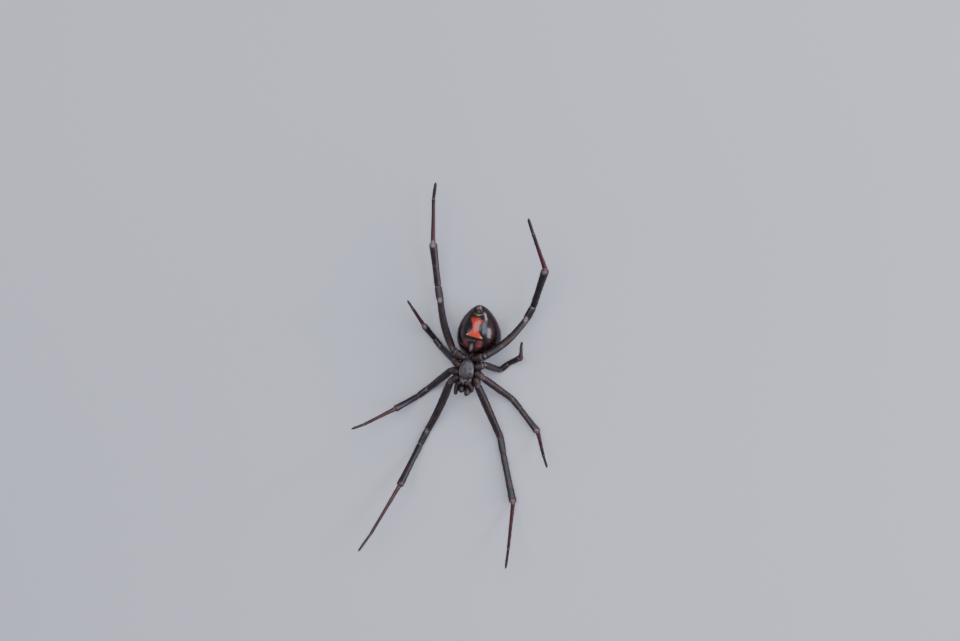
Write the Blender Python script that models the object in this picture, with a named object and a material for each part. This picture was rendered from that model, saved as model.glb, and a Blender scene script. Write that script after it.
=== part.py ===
"""A female black widow spider at life size, lying on its back with its legs spread.

The belly faces up (+Z), the animal's right is +X and its tail points to +Y.
The back of the abdomen and the knees of the front legs rest on the floor, z = 0.
The origin is the middle of the flat that the abdomen rests on.
"""

import math

import bmesh
import bpy
from mathutils import Matrix, Vector
from mathutils.bvhtree import BVHTree

MM = 0.001

# Clearances, in millimetres
JOINT_GAP = 0.26
BODY_GAP = 0.2
EYE_GAP = 0.05

# Abdomen: an egg whose half width, belly, back and widest level follow one variable,
# from -1 in front to 1 at the tail, as a constant, a slope and a curve
ABDOMEN_HALF_LENGTH = 3.23
ABDOMEN_MIDDLE = 2.68
ABDOMEN_ASIDE = 0.6
ABDOMEN_HEADING = 82
ABDOMEN_WIDTH = (2.5, -0.38, -0.42)
ABDOMEN_BELLY = (2.92, -0.72, -0.8)
ABDOMEN_BACK = (2.5, 0.37, 0.07)
ABDOMEN_LEVEL = (2.5, 1.05, 0.65)
ABDOMEN_RINGS = 24
ABDOMEN_SIDES = 36
REST_BEHIND_WAIST = 2.05
SPINNERET_FLAT = (5.35, 4.73)
SPINNERET_RISE = 60
PEDICEL_FLAT = (0.2, 4.0)
PEDICEL_RISE = 40

# Cephalothorax: heading of its front, lift of its right side, and height of the waist
HEAD_HEADING = -97
HEAD_ROLL = 4
WAIST_HEIGHT = 4.2
PEDICEL_RADIUS = 0.26

# Sections of the cephalothorax from the waist to the front, along its own axes:
# distance ahead, half width of sternum, of core and of carapace, then the heights
# of sternum, rim and lowest point of the carapace, counted from the waist
PROSOMA_SECTIONS = (
    (0.22, 0.12, 0.28, 0.36, 0.14, -0.22, -0.36),
    (0.45, 0.30, 0.48, 0.78, 0.22, -0.48, -0.80),
    (0.85, 0.56, 0.70, 1.20, 0.28, -0.74, -1.32),
    (1.45, 0.78, 0.84, 1.42, 0.31, -0.85, -1.74),
    (2.05, 0.83, 0.88, 1.40, 0.30, -0.86, -1.90),
    (2.45, 0.74, 0.80, 1.24, 0.27, -0.84, -1.92),
    (2.62, 0.34, 0.44, 1.14, 0.22, -0.82, -1.91),
    (2.80, 0.13, 0.17, 1.06, 0.18, -0.80, -1.88),
    (3.08, 0.10, 0.14, 0.97, 0.10, -0.80, -1.82),
    (3.22, 0.30, 0.62, 0.94, -0.74, -0.86, -1.78),
    (3.55, 0.30, 0.60, 0.86, -0.84, -0.96, -1.68),
    (3.80, 0.20, 0.44, 0.66, -0.98, -1.10, -1.48),
)

# Coxae on either side: ahead, aside and up of the inner end, then of the trochanter's end
SOCKETS = {
    1: (2.60, 1.16, -0.22),
    2: (1.88, 1.24, -0.20),
    3: (1.02, 1.16, -0.20),
    4: (0.28, 0.92, -0.10),
}
TROCHANTERS = {
    (1, "left"): (3.12, 1.90, -0.50),
    (2, "left"): (1.78, 1.88, -0.50),
    (3, "left"): (0.58, 1.84, -0.50),
    (4, "left"): (-0.55, 1.92, 0.0),
    (1, "right"): (3.16, 1.33, -0.52),
    (2, "right"): (2.22, 1.84, -0.50),
    (3, "right"): (0.72, 1.84, -0.50),
    (4, "right"): (-0.33, 2.06, 0.25),
}
COXA_SHAPE = ((0.0, 0.28), (0.45, 0.37), (1.0, 0.37))

# Length of femur, patella, tibia, metatarsus and tarsus
SEGMENT_LENGTHS = {
    1: (7.20, 1.95, 5.70, 6.50, 2.40),
    2: (5.15, 1.50, 3.30, 4.10, 1.50),
    3: (3.80, 1.25, 2.30, 2.75, 1.15),
    4: (6.40, 1.70, 5.10, 5.20, 1.85),
}
FEMUR_RADIUS = {1: 0.46, 2: 0.41, 3: 0.38, 4: 0.43}
TIBIA_RADIUS = {1: 0.36, 2: 0.33, 3: 0.31, 4: 0.35}
METATARSUS_RADIUS = 0.25

# Heading and rise of each segment in degrees, as the photograph shows the leg from below.
# A femur whose knee rests on the floor gets its rise from the height of that knee
LEG_ANGLES = {
    (1, "left"): ((-120, None), (-117, 2), (-112, 29), (-120, 8), (-123, 23)),
    (2, "left"): ((-147, None), (-144, 2), (-148, 34), (-152, 22), (-159, 29)),
    (3, "left"): ((145, -51), (127, 1), (124, 36), (117, 37), (117, 33)),
    (4, "left"): ((109, -23), (99, 3), (94, 14), (87, 12), (79, 16)),
    (1, "right"): ((-71, None), (-80, 2), (-78, 2), (-89, 37), (-92, 33)),
    (2, "right"): ((-41, None), (-51, 4), (-52, 2), (-67, 45), (-68, 27)),
    (3, "right"): ((-28, None), (38, 3), (23, 38), (71, 62), (63, 60)),
    (4, "right"): ((44, -22), (60, 5), (67, 27), (103, 36), (103, 29)),
}
KNEE_HEIGHT = {1: 0.36, 2: 0.33, 3: 0.30}
FEMUR_BOW = {(4, "left"): 0.25, (4, "right"): -0.36, (1, "left"): 0.15}
LEG_SIDES = 12
SIDES = {"left": -1, "right": 1}

# Radius along each segment, as pairs of place and share of the segment's own radius
FEMUR_SHAPE = ((0.0, 0.84), (0.12, 0.98), (0.45, 1.0), (0.8, 0.9), (1.0, 0.84))
PATELLA_SHAPE = ((0.0, 1.06), (0.35, 1.12), (0.8, 1.06))
TIBIA_SHAPE = ((0.0, 0.92), (0.14, 1.06), (0.5, 0.98), (0.82, 1.06), (0.92, 1.24), (1.0, 1.04))
METATARSUS_SHAPE = ((0.0, 1.12), (0.1, 1.06), (0.5, 1.0))
TARSUS_SHAPE = ((0.0, 1.0), (0.6, 0.84), (1.0, 0.44))

# Mouthparts and palps along the cephalothorax's axes: ahead, aside, up and radius
MOUTH_ASIDE = -0.04
# The left jaw is drawn in and the right one thrust out: each jaw's length from its root
JAW_ROOT = 3.42
JAW_REACH = {"left": 0.74, "right": 1.08}
CHELICERA = (
    (3.42, 0.33, -0.44, 0.24),
    (3.62, 0.34, -0.36, 0.29),
    (4.02, 0.34, -0.16, 0.27),
    (4.34, 0.31, 0.02, 0.17),
)
FANG = ((4.36, 0.30, 0.30, 0.09), (4.22, 0.22, 0.40, 0.09), (3.96, 0.14, 0.40, 0.04))
PALPS = {
    "left": (
        (2.92, 0.46, 0.08, 0.17),
        (3.16, 0.69, 0.08, 0.21),
        (3.50, 1.00, -0.16, 0.24),
        (4.02, 1.07, -0.28, 0.25),
        (4.46, 0.99, -0.02, 0.14),
    ),
    "right": (
        (2.92, 0.45, 0.08, 0.17),
        (3.18, 0.60, 0.12, 0.20),
        (3.44, 0.86, 0.10, 0.22),
        (3.72, 0.92, 0.00, 0.22),
        (3.96, 0.82, -0.06, 0.13),
    ),
}

# Eyes, seen from the middle of the head: turn aside and drop below level in degrees, and radius
HEAD_MIDDLE = (2.95, 0.0, -1.25)
EYES = {
    "anterior_median": (9, 6, 0.10),
    "anterior_lateral": (31, 8, 0.09),
    "posterior_median": (12, 27, 0.095),
    "posterior_lateral": (38, 26, 0.09),
}

# Spinnerets: distance from the middle, turn round it, length and radius
SPINNERET_RING = (
    (0.20, 145, 0.46, 0.15),
    (0.20, 35, 0.46, 0.15),
    (0.20, 215, 0.40, 0.12),
    (0.20, 325, 0.40, 0.12),
)
ANAL_TUBERCLE = (0.30, 270, 0.30, 0.14)
SPINNERET_BASE = (0.42, 0.14)
SPINNERET_GAP = 0.15

COLOURS = {
    "abdomen": (0.012, 0.009, 0.009),
    "cephalothorax": (0.030, 0.026, 0.028),
    "leg": (0.022, 0.017, 0.017),
    "metatarsus": (0.060, 0.022, 0.024),
    "mouth": (0.070, 0.024, 0.020),
    "fang": (0.110, 0.030, 0.020),
    "spinneret": (0.110, 0.085, 0.075),
    "eye": (0.015, 0.015, 0.017),
}
ROUGHNESS = {"abdomen": 0.18, "eye": 0.08, "spinneret": 0.5}


def clear_scene():
    for thing in list(bpy.data.objects):
        bpy.data.objects.remove(thing, do_unlink=True)


def direction(heading, rise):
    turn = math.radians(heading)
    lift = math.radians(rise)
    return Vector((math.cos(lift) * math.cos(turn), math.cos(lift) * math.sin(turn), math.sin(lift)))


def egg(place, terms):
    return terms[0] + terms[1] * place + terms[2] * place * place


TAILWARD = direction(ABDOMEN_HEADING, 0)
ABDOMEN_RIGHT = direction(ABDOMEN_HEADING - 90, 0)
ABDOMEN_FOOT = -TAILWARD * REST_BEHIND_WAIST
WAIST = ABDOMEN_FOOT - Vector((ABDOMEN_ASIDE, 0, 0)) + Vector((0, 0, WAIST_HEIGHT))

FORWARD = direction(HEAD_HEADING, 0)
HEAD_RIGHT = direction(HEAD_HEADING + 90, HEAD_ROLL)
HEAD_UP = FORWARD.cross(HEAD_RIGHT)


def on_head(ahead, aside, up):
    return WAIST + FORWARD * ahead + HEAD_RIGHT * aside + HEAD_UP * up


def on_abdomen(behind, aside, height):
    return ABDOMEN_FOOT + TAILWARD * behind + ABDOMEN_RIGHT * aside + Vector((0, 0, height))


def material(name):
    finish = bpy.data.materials.new(name)
    finish.use_nodes = True
    shader = finish.node_tree.nodes["Principled BSDF"]
    shader.inputs["Base Color"].default_value = (*COLOURS[name], 1)
    shader.inputs["Roughness"].default_value = ROUGHNESS.get(name, 0.3)
    shader.inputs["Metallic"].default_value = 0
    return finish


def node(name, form, finish):
    """Makes a named object of a closed form in millimetres, with its faces turned outwards."""
    bmesh.ops.recalc_face_normals(form, faces=form.faces)
    bmesh.ops.scale(form, vec=(MM, MM, MM), verts=form.verts)
    mesh = bpy.data.meshes.new(name)
    form.to_mesh(mesh)
    form.free()
    mesh.shade_smooth()
    mesh.set_sharp_from_angle(angle=math.radians(50))
    thing = bpy.data.objects.new(name, mesh)
    bpy.context.collection.objects.link(thing)
    mesh.materials.append(finish)
    return thing


def loft(rings):
    """Joins rings of equally many points into one closed form with flat ends."""
    form = bmesh.new()
    rows = [[form.verts.new(point) for point in ring] for ring in rings]
    count = len(rows[0])
    for near, far in zip(rows, rows[1:]):
        for i in range(count):
            j = (i + 1) % count
            form.faces.new((near[i], near[j], far[j], far[i]))
    form.faces.new(rows[0])
    form.faces.new(rows[-1])
    return form


def slice_off(form, point, outward):
    """Takes away what lies beyond a plane, and closes the cut with a flat."""
    parts = form.verts[:] + form.edges[:] + form.faces[:]
    cut = bmesh.ops.bisect_plane(form, geom=parts, plane_co=point, plane_no=outward, clear_outer=True)
    rim = [piece for piece in cut["geom_cut"] if isinstance(piece, bmesh.types.BMEdge)]
    if rim:
        bmesh.ops.contextual_create(form, geom=rim)
    bmesh.ops.remove_doubles(form, verts=form.verts, dist=0.003)


def stand_on_floor(form):
    if min(corner.co.z for corner in form.verts) < 0:
        slice_off(form, Vector((0, 0, 0)), Vector((0, 0, -1)))


def tube_rings(path, sides=LEG_SIDES):
    """Rings round a path of (point, direction, normal, radius), slid onto the plane of the normal."""
    rings = []
    guide = path[0][1].orthogonal()
    for point, along, normal, radius in path:
        guide = (guide - along * guide.dot(along)).normalized()
        across = along.cross(guide)
        ring = []
        for k in range(sides):
            turn = 2 * math.pi * k / sides
            spoke = (guide * math.cos(turn) + across * math.sin(turn)) * radius
            slide = -spoke.dot(normal) / along.dot(normal)
            ring.append(point + spoke + along * slide)
        rings.append(ring)
    return rings


def straight_tube(points):
    """A path through (point, radius) pairs, whose rings halve the bend at each point."""
    path = []
    for i, (point, radius) in enumerate(points):
        before = (point - points[i - 1][0]).normalized() if i else None
        after = (points[i + 1][0] - point).normalized() if i + 1 < len(points) else None
        along = before or after
        normal = (along + (after or along)).normalized()
        path.append((point, along, normal, radius))
    return path


def leg_joints(number, side):
    """The leg's joints from the trochanter's end to the tip."""
    ahead, aside, up = TROCHANTERS[number, side]
    point = on_head(ahead, aside * SIDES[side], up)
    joints = [point]
    for length, (heading, rise) in zip(SEGMENT_LENGTHS[number], LEG_ANGLES[number, side]):
        if rise is None:
            rise = -math.degrees(math.asin((point.z - KNEE_HEIGHT[number]) / length))
        point = point + direction(heading, rise) * length
        joints.append(point)
    return joints


def bend_normal(before, joint, after):
    return ((joint - before).normalized() + (after - joint).normalized()).normalized()


def segment_path(start, end, radius, shape, bow=0.0):
    """Points along one segment, bowed sideways in plan, without its end point."""
    along = end - start
    aside = Vector((-along.y, along.x, 0)).normalized()
    points = []
    for place, part in shape:
        point = start + along * place + aside * bow * math.sin(math.pi * place)
        points.append((point, radius * part))
    return points


def limb(segments, first_normal, last_normal, first_gap, last_gap):
    """One node of a leg: segments are lists of (point, radius), and its ends stand back from the joints."""
    points = []
    for piece in segments:
        for point, radius in piece:
            if not points or (point - points[-1][0]).length > 1e-6:
                points.append((point, radius))
    path = straight_tube(points)
    point, along, _, radius = path[0]
    path[0] = (point + along * first_gap, along, first_normal, radius)
    point, along, _, radius = path[-1]
    path[-1] = (point - along * last_gap, along, last_normal, radius)
    form = loft(tube_rings(path))
    stand_on_floor(form)
    return form


def build_leg(number, side, finishes):
    joints = leg_joints(number, side)
    ahead, aside, up = SOCKETS[number]
    inner = on_head(ahead, aside * SIDES[side], up)
    root = bend_normal(inner, joints[0], joints[1])
    knee = bend_normal(joints[0], joints[1], joints[2])
    ankle = bend_normal(joints[2], joints[3], joints[4])
    half = JOINT_GAP / 2
    name = f"leg_{number}_{side}"
    thick = FEMUR_RADIUS[number]
    thin = TIBIA_RADIUS[number]

    reach = joints[0] - inner
    coxa = [(inner + reach * place, radius) for place, radius in COXA_SHAPE]
    form = limb([coxa], reach.normalized(), root, 0, half)
    node(f"{name}_coxa", form, finishes["leg"])

    bow = FEMUR_BOW.get((number, side), 0.0)
    femur = segment_path(joints[0], joints[1], thick, FEMUR_SHAPE, bow)
    form = limb([femur], root, knee, half, half)
    node(f"{name}_femur", form, finishes["leg"])

    patella = segment_path(joints[1], joints[2], thin, PATELLA_SHAPE)
    tibia = segment_path(joints[2], joints[3], thin, TIBIA_SHAPE)
    form = limb([patella, tibia], knee, ankle, half, half)
    node(f"{name}_tibia", form, finishes["leg"])

    metatarsus = segment_path(joints[3], joints[4], METATARSUS_RADIUS, METATARSUS_SHAPE)
    tarsus = segment_path(joints[4], joints[5], METATARSUS_RADIUS, TARSUS_SHAPE)
    form = limb([metatarsus, tarsus], ankle, (joints[5] - joints[4]).normalized(), half, 0)
    node(f"{name}_metatarsus", form, finishes["metatarsus"])


def build_abdomen(finish):
    rings = []
    for i in range(1, ABDOMEN_RINGS):
        place = -math.cos(math.pi * i / ABDOMEN_RINGS)
        swell = math.sqrt(1 - place * place)
        behind = ABDOMEN_MIDDLE + ABDOMEN_HALF_LENGTH * place
        width = swell * egg(place, ABDOMEN_WIDTH)
        belly = swell * egg(place, ABDOMEN_BELLY)
        back = swell * egg(place, ABDOMEN_BACK)
        level = egg(place, ABDOMEN_LEVEL)
        ring = []
        for k in range(ABDOMEN_SIDES):
            turn = 2 * math.pi * k / ABDOMEN_SIDES
            high = math.sin(turn) * (belly if math.sin(turn) > 0 else back)
            ring.append(on_abdomen(behind, width * math.cos(turn), level + high))
        rings.append(ring)
    form = loft(rings)
    slice_off(form, on_abdomen(SPINNERET_FLAT[0], 0, SPINNERET_FLAT[1]), spinneret_outward())
    slice_off(form, on_abdomen(PEDICEL_FLAT[0], 0, PEDICEL_FLAT[1]), pedicel_outward())
    stand_on_floor(form)
    node("abdomen", form, finish)


def pedicel_outward():
    """The way out of the abdomen where the waist joins it: forwards, up and a little aside."""
    aside = (WAIST - on_abdomen(0, 0, WAIST.z)).normalized()
    rise = math.radians(PEDICEL_RISE)
    return (aside * 0.3 - TAILWARD * math.cos(rise) + Vector((0, 0, math.sin(rise)))).normalized()


def spinneret_outward():
    rise = math.radians(SPINNERET_RISE)
    return TAILWARD * math.cos(rise) + Vector((0, 0, math.sin(rise)))


def build_cephalothorax(finish):
    rings = []
    for ahead, sternum, core, carapace, top, rim, low in PROSOMA_SECTIONS:
        half = [(sternum * 0.62, top), (sternum, top - 0.05), (core, top - 0.16), (core, rim + 0.1)]
        half += [(carapace * 0.97, rim), (carapace, rim - 0.07)]
        for turn in (22, 42, 60, 76):
            lean = math.radians(turn)
            half.append((carapace * math.cos(lean) ** 0.8, rim - 0.07 + (low - rim + 0.07) * math.sin(lean)))
        ring = [on_head(ahead, 0, top)]
        ring += [on_head(ahead, aside, up) for aside, up in half]
        ring.append(on_head(ahead, 0, low))
        ring += [on_head(ahead, -aside, up) for aside, up in reversed(half)]
        rings.append(ring)
    form = loft(rings)
    return node("cephalothorax", form, finish)


def build_pedicel(finish):
    start = on_head(PROSOMA_SECTIONS[0][0] - BODY_GAP, 0, -0.06)
    outward = pedicel_outward()
    end = on_abdomen(PEDICEL_FLAT[0], -ABDOMEN_ASIDE * 0.4, PEDICEL_FLAT[1]) + outward * BODY_GAP
    middle = start.lerp(end, 0.5)
    between = (-FORWARD - outward).normalized()
    path = [
        (start, -FORWARD, -FORWARD, PEDICEL_RADIUS),
        (middle, between, between, PEDICEL_RADIUS * 0.85),
        (end, -outward, -outward, PEDICEL_RADIUS),
    ]
    node("pedicel", loft(tube_rings(path)), finish)


def build_tube_on_head(name, stations, sign, finish, shift=0.0, reach=1.0):
    points = []
    for ahead, aside, up, radius in stations:
        ahead = JAW_ROOT + (ahead - JAW_ROOT) * reach
        points.append((on_head(ahead, aside * sign + shift, up), radius))
    node(name, loft(tube_rings(straight_tube(points))), finish)


def build_eyes(head, finish):
    surface = BVHTree.FromObject(head, bpy.context.evaluated_depsgraph_get())
    middle = on_head(*HEAD_MIDDLE)
    for eye, (turn, drop, radius) in EYES.items():
        for side, sign in SIDES.items():
            aside = math.radians(turn)
            down = math.radians(drop)
            look = FORWARD * math.cos(aside) * math.cos(down)
            look += HEAD_RIGHT * sign * math.sin(aside) * math.cos(down)
            look -= HEAD_UP * math.sin(down)
            hit, normal, _, _ = surface.ray_cast(middle * MM, look)
            form = bmesh.new()
            bmesh.ops.create_uvsphere(form, u_segments=10, v_segments=8, radius=radius)
            slice_off(form, Vector((0, 0, -radius * 0.35)), Vector((0, 0, -1)))
            lift = normal * (radius * 0.35 + EYE_GAP)
            turned = normal.to_track_quat("Z", "Y").to_matrix().to_4x4()
            place = Matrix.Translation(hit / MM + lift) @ turned
            bmesh.ops.transform(form, matrix=place, verts=form.verts)
            node(f"eye_{eye}_{side}", form, finish)


def cone_object(name, start, along, length, radius):
    shoulder = start + along * length * 0.6
    points = [(start, radius), (shoulder, radius * 0.85), (start + along * length, radius * 0.4)]
    return node(name, loft(tube_rings(straight_tube(points), 10)), None)


def build_spinnerets(finish):
    outward = spinneret_outward()
    upward = ABDOMEN_RIGHT.cross(outward)
    foot = on_abdomen(SPINNERET_FLAT[0], 0, SPINNERET_FLAT[1]) + outward * SPINNERET_GAP
    wide, thick = SPINNERET_BASE
    points = [(foot, wide), (foot + outward * thick, wide * 0.9)]
    base = node("spinnerets", loft(tube_rings(straight_tube(points), 20)), finish)
    pieces = bpy.data.collections.new("spinneret_pieces")
    bpy.context.scene.collection.children.link(pieces)
    for i, (out, turn, length, radius) in enumerate((*SPINNERET_RING, ANAL_TUBERCLE)):
        angle = math.radians(turn)
        spoke = ABDOMEN_RIGHT * math.cos(angle) + upward * math.sin(angle)
        start = foot + outward * thick * 0.5 + spoke * out
        lean = (outward - spoke * 0.25).normalized()
        cone = cone_object(f"spinneret_{i}", start, lean, length, radius)
        bpy.context.collection.objects.unlink(cone)
        pieces.objects.link(cone)
    union = base.modifiers.new("union", "BOOLEAN")
    union.operation = "UNION"
    union.operand_type = "COLLECTION"
    union.collection = pieces
    graph = bpy.context.evaluated_depsgraph_get()
    joined = bpy.data.meshes.new_from_object(base.evaluated_get(graph))
    base.modifiers.clear()
    base.data = joined
    for cone in list(pieces.objects):
        bpy.data.objects.remove(cone, do_unlink=True)
    bpy.data.collections.remove(pieces)


def main():
    clear_scene()
    finishes = {name: material(name) for name in COLOURS}
    build_abdomen(finishes["abdomen"])
    head = build_cephalothorax(finishes["cephalothorax"])
    build_pedicel(finishes["cephalothorax"])
    for side, sign in SIDES.items():
        reach = JAW_REACH[side]
        build_tube_on_head(f"chelicera_{side}", CHELICERA, sign, finishes["mouth"], MOUTH_ASIDE, reach)
        build_tube_on_head(f"fang_{side}", FANG, sign, finishes["fang"], MOUTH_ASIDE, reach)
        build_tube_on_head(f"pedipalp_{side}", PALPS[side], sign, finishes["mouth"])
        for number in SEGMENT_LENGTHS:
            build_leg(number, side, finishes)
    build_eyes(head, finishes["eye"])
    build_spinnerets(finishes["spinneret"])


main()
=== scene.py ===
# %% [markdown]
# # A black widow spider at life size
#
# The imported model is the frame: fifty plain solids that say where each part of the spider is.
# This lesson puts the looks over them: polished black cuticle, the red hourglass, eight eyes,
# pale joint skin and fine bristles. The spider lies on its back with its legs spread, so its belly
# faces up (+Z), its right is +X and its tail points to +Y.

# %% Load the frame
import math
from functools import partial

import bmesh
import bpy
import numpy as np
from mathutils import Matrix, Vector


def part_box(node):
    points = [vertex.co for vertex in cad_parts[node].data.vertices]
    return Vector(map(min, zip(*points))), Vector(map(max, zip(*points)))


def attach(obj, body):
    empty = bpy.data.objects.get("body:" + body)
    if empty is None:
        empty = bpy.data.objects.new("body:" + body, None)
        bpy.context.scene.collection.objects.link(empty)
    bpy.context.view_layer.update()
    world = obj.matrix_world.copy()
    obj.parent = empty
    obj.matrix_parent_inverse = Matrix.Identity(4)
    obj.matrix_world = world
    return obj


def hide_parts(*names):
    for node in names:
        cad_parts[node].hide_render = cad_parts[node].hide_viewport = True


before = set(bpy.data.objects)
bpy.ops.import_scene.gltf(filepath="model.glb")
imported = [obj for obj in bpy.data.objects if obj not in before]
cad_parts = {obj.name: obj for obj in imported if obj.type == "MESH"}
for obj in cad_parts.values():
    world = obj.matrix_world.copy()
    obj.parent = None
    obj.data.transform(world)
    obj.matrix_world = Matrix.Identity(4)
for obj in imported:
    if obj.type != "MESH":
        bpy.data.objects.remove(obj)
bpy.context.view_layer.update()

# %% [markdown]
# ## Where things are
#
# A spider is measured along its own body, and not along the room. The waist joins two halves that
# point slightly different ways, so each half gets its own axes, and every later number is a plain
# length in millimetres: ahead or behind the waist, aside to the animal's right, and up or high.

# %% Axes of the two halves of the body
MM = 0.001
RIGHT_AND_LEFT = {"right": 1, "left": -1}
# Turns in plan from +X towards +Y and the lift of the head's right side, in degrees
TAIL_TURN, HEAD_TURN, HEAD_ROLL = 82, -97, 4
REST_BEHIND_WAIST, WAIST_ASIDE, WAIST_HEIGHT = 2.05, -0.6, 4.2


def heading(turn, rise=0.0):
    """A unit vector from a turn in plan, from +X towards +Y, and a rise, both in degrees."""
    turn, rise = math.radians(turn), math.radians(rise)
    level = math.cos(rise)
    return np.array([level * math.cos(turn), level * math.sin(turn), math.sin(rise)])


UP = np.array([0.0, 0.0, 1.0])
TAILWARD = heading(TAIL_TURN)
ABDOMEN_RIGHT = heading(TAIL_TURN - 90)
ABDOMEN_FOOT = -REST_BEHIND_WAIST * TAILWARD
WAIST = ABDOMEN_FOOT + np.array([WAIST_ASIDE, 0.0, WAIST_HEIGHT])
FORWARD = heading(HEAD_TURN)
HEAD_RIGHT = heading(HEAD_TURN + 90, HEAD_ROLL)
HEAD_UP = np.cross(FORWARD, HEAD_RIGHT)


def spread(value, axis):
    """One length or many, laid along an axis."""
    return np.asarray(value, float)[..., None] * axis


def on_head(ahead, aside, up):
    return WAIST + spread(ahead, FORWARD) + spread(aside, HEAD_RIGHT) + spread(up, HEAD_UP)


def on_abdomen(behind, aside, height):
    return ABDOMEN_FOOT + spread(behind, TAILWARD) + spread(aside, ABDOMEN_RIGHT) + spread(height, UP)


def measured(points, start, axes):
    """How far points lie from a start, along each of some axes."""
    return [(points - start) @ axis for axis in axes]


def unit(vectors):
    return vectors / np.maximum(np.linalg.norm(vectors, axis=-1, keepdims=True), 1e-9)


print("waist at", WAIST.round(3), "mm")

# %% [markdown]
# ## Small tools
#
# Cuticle is named by its hex colour, as a paint maker would, and one function turns that to the
# linear values that a shader wants. One more function adds a shader node: each of its settings is
# a plain value, a choice, the stops of a colour ramp, or the output of another node that feeds it.
# A finish is a material with the Principled shader, whose constant values sit on its own sockets.

# %% Colours, nodes and finishes
def linear(code):
    """A hex colour as linear red, green, blue and full alpha."""
    parts = [int(code[i : i + 2], 16) / 255 for i in (1, 3, 5)]
    return (*(c / 12.92 if c <= 0.04045 else ((c + 0.055) / 1.055) ** 2.4 for c in parts), 1.0)


def add_node(tree, kind, settings, out=0):
    """Adds a shader node with its settings and links, and gives one of its outputs."""
    node = tree.nodes.new("ShaderNode" + kind)
    for name, value in settings.items():
        if isinstance(value, bpy.types.NodeSocket):
            tree.links.new(value, node.inputs[name])
        elif name == "stops":
            ramp = node.color_ramp.elements
            while len(ramp) < len(value):
                ramp.new(0.5)
            for stop, (position, tone) in zip(ramp, value):
                stop.position = position
                stop.color = linear(tone) if isinstance(tone, str) else (tone, tone, tone, 1)
        elif isinstance(name, int) or name in node.inputs:
            node.inputs[name].default_value = value
        else:
            setattr(node, name, value)
    return node.outputs[out]


def new_finish(name, **values):
    """A material, the tool that adds nodes to it, its shader, and the place on the object."""
    finish = bpy.data.materials.new(name)
    finish.use_nodes = True
    shader = finish.node_tree.nodes["Principled BSDF"]
    for socket, value in values.items():
        shader.inputs[socket.replace("_", " ")].default_value = value
    add = partial(add_node, finish.node_tree)
    return finish, add, shader, add("TexCoord", {}, "Object")


def feed(finish, shader, **sources):
    """Links what varies over the surface to the shader's sockets."""
    for socket, source in sources.items():
        finish.node_tree.links.new(source, shader.inputs[socket.replace("_", " ")])
    print(finish.name, len(finish.node_tree.nodes), "nodes")


# %% [markdown]
# Each piece is closed, smoothed and turned to face out when it comes home, with its finish on. It
# then rides on the body, and stands for the solids that it covers. Points and patterns are read
# and written as whole arrays, which is much quicker than one by one.

# %% Editing, reading and finishing a piece
def deselect():
    bpy.ops.object.select_all(action="DESELECT")


def new_piece(operator, name, **settings):
    """Adds one of Blender's own forms with nothing else selected, and names it."""
    deselect()
    operator(**{"location": (0, 0, 0), **settings})
    piece = bpy.context.object
    piece.name = piece.data.name = name
    return piece


def edit(piece):
    """Opens a piece in edit mode with nothing selected."""
    deselect()
    bpy.context.view_layer.objects.active = piece
    piece.select_set(True)
    bpy.ops.object.mode_set(mode="EDIT")
    bpy.ops.mesh.select_mode(type="VERT")
    bpy.ops.mesh.select_all(action="DESELECT")


def cap_ends(piece):
    """Opens a piece in edit mode and closes its open ends."""
    edit(piece)
    bpy.ops.mesh.select_non_manifold(extend=False, use_multi_face=False, use_verts=False)
    if piece.data.total_vert_sel:
        bpy.ops.mesh.edge_face_add()


def home(piece, finish, nodes=()):
    """Closes, turns out, smooths and finishes a piece, sets it on the body and hides its solids."""
    cap_ends(piece)
    bpy.ops.mesh.select_all(action="SELECT")
    bpy.ops.mesh.normals_make_consistent(inside=False)
    bpy.ops.object.mode_set(mode="OBJECT")
    bpy.ops.object.shade_smooth()
    piece.data.materials.clear()
    piece.data.materials.append(finish)
    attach(piece, "root")
    if nodes:
        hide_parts(*nodes)
    size = " x ".join(f"{side / MM:.2f}" for side in piece.dimensions)
    print(f"{piece.name}: {len(piece.data.polygons)} faces, {size} mm")
    return piece


def read(items, field, width=1, kind=float):
    """A field of a mesh's points, corners or faces as an array."""
    values = np.empty(len(items) * width, kind)
    items.foreach_get(field, values)
    return values.reshape(-1, width)


def read_points(piece):
    return read(piece.data.vertices, "co", 3) / MM


def write_points(piece, points):
    piece.data.vertices.foreach_set("co", (points * MM).ravel())
    piece.data.update()


def raised(piece, points, rise, middle):
    """Points moved by a rise in mm along the surface's own directions, away from its middle."""
    away = read(piece.data.vertices, "normal", 3)
    if (away * (points - middle)).sum() < 0:
        away = -away
    return points + rise[:, None] * away


def keep_value(piece, name, values):
    """Gives each point a number or an arrow, which materials and bristles find by its name."""
    arrows = np.ndim(values) == 2
    kept = piece.data.attributes.new(name, "FLOAT_VECTOR" if arrows else "FLOAT", "POINT")
    kept.data.foreach_set("vector" if arrows else "value", np.asarray(values, np.float32).ravel())


# %% [markdown]
# ## Two ways to shape a body part
#
# Plates and bellies start as a sphere, whose rings are moved to the outline that a section gives.
# Legs, fangs and bristled palps start as a path with a round bevel, thick or thin at each point,
# and are then made a mesh. Both keep tidy rings, so patterns and bristles can follow them: each
# point remembers the way along the piece, which the bristles later lie along.

# %% Smooth steps, hills and curves
def smoothstep(low, high, value):
    t = np.clip((value - low) / (high - low), 0, 1)
    return t * t * (3 - 2 * t)


def hill(distance, reach):
    """A soft round hill, 1 at its middle and 0 beyond its reach."""
    return smoothstep(reach, 0, distance)


def ridge(offset, width):
    """A soft ridge along the line where the offset is 0."""
    return np.exp(-((offset / width) ** 2))


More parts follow.
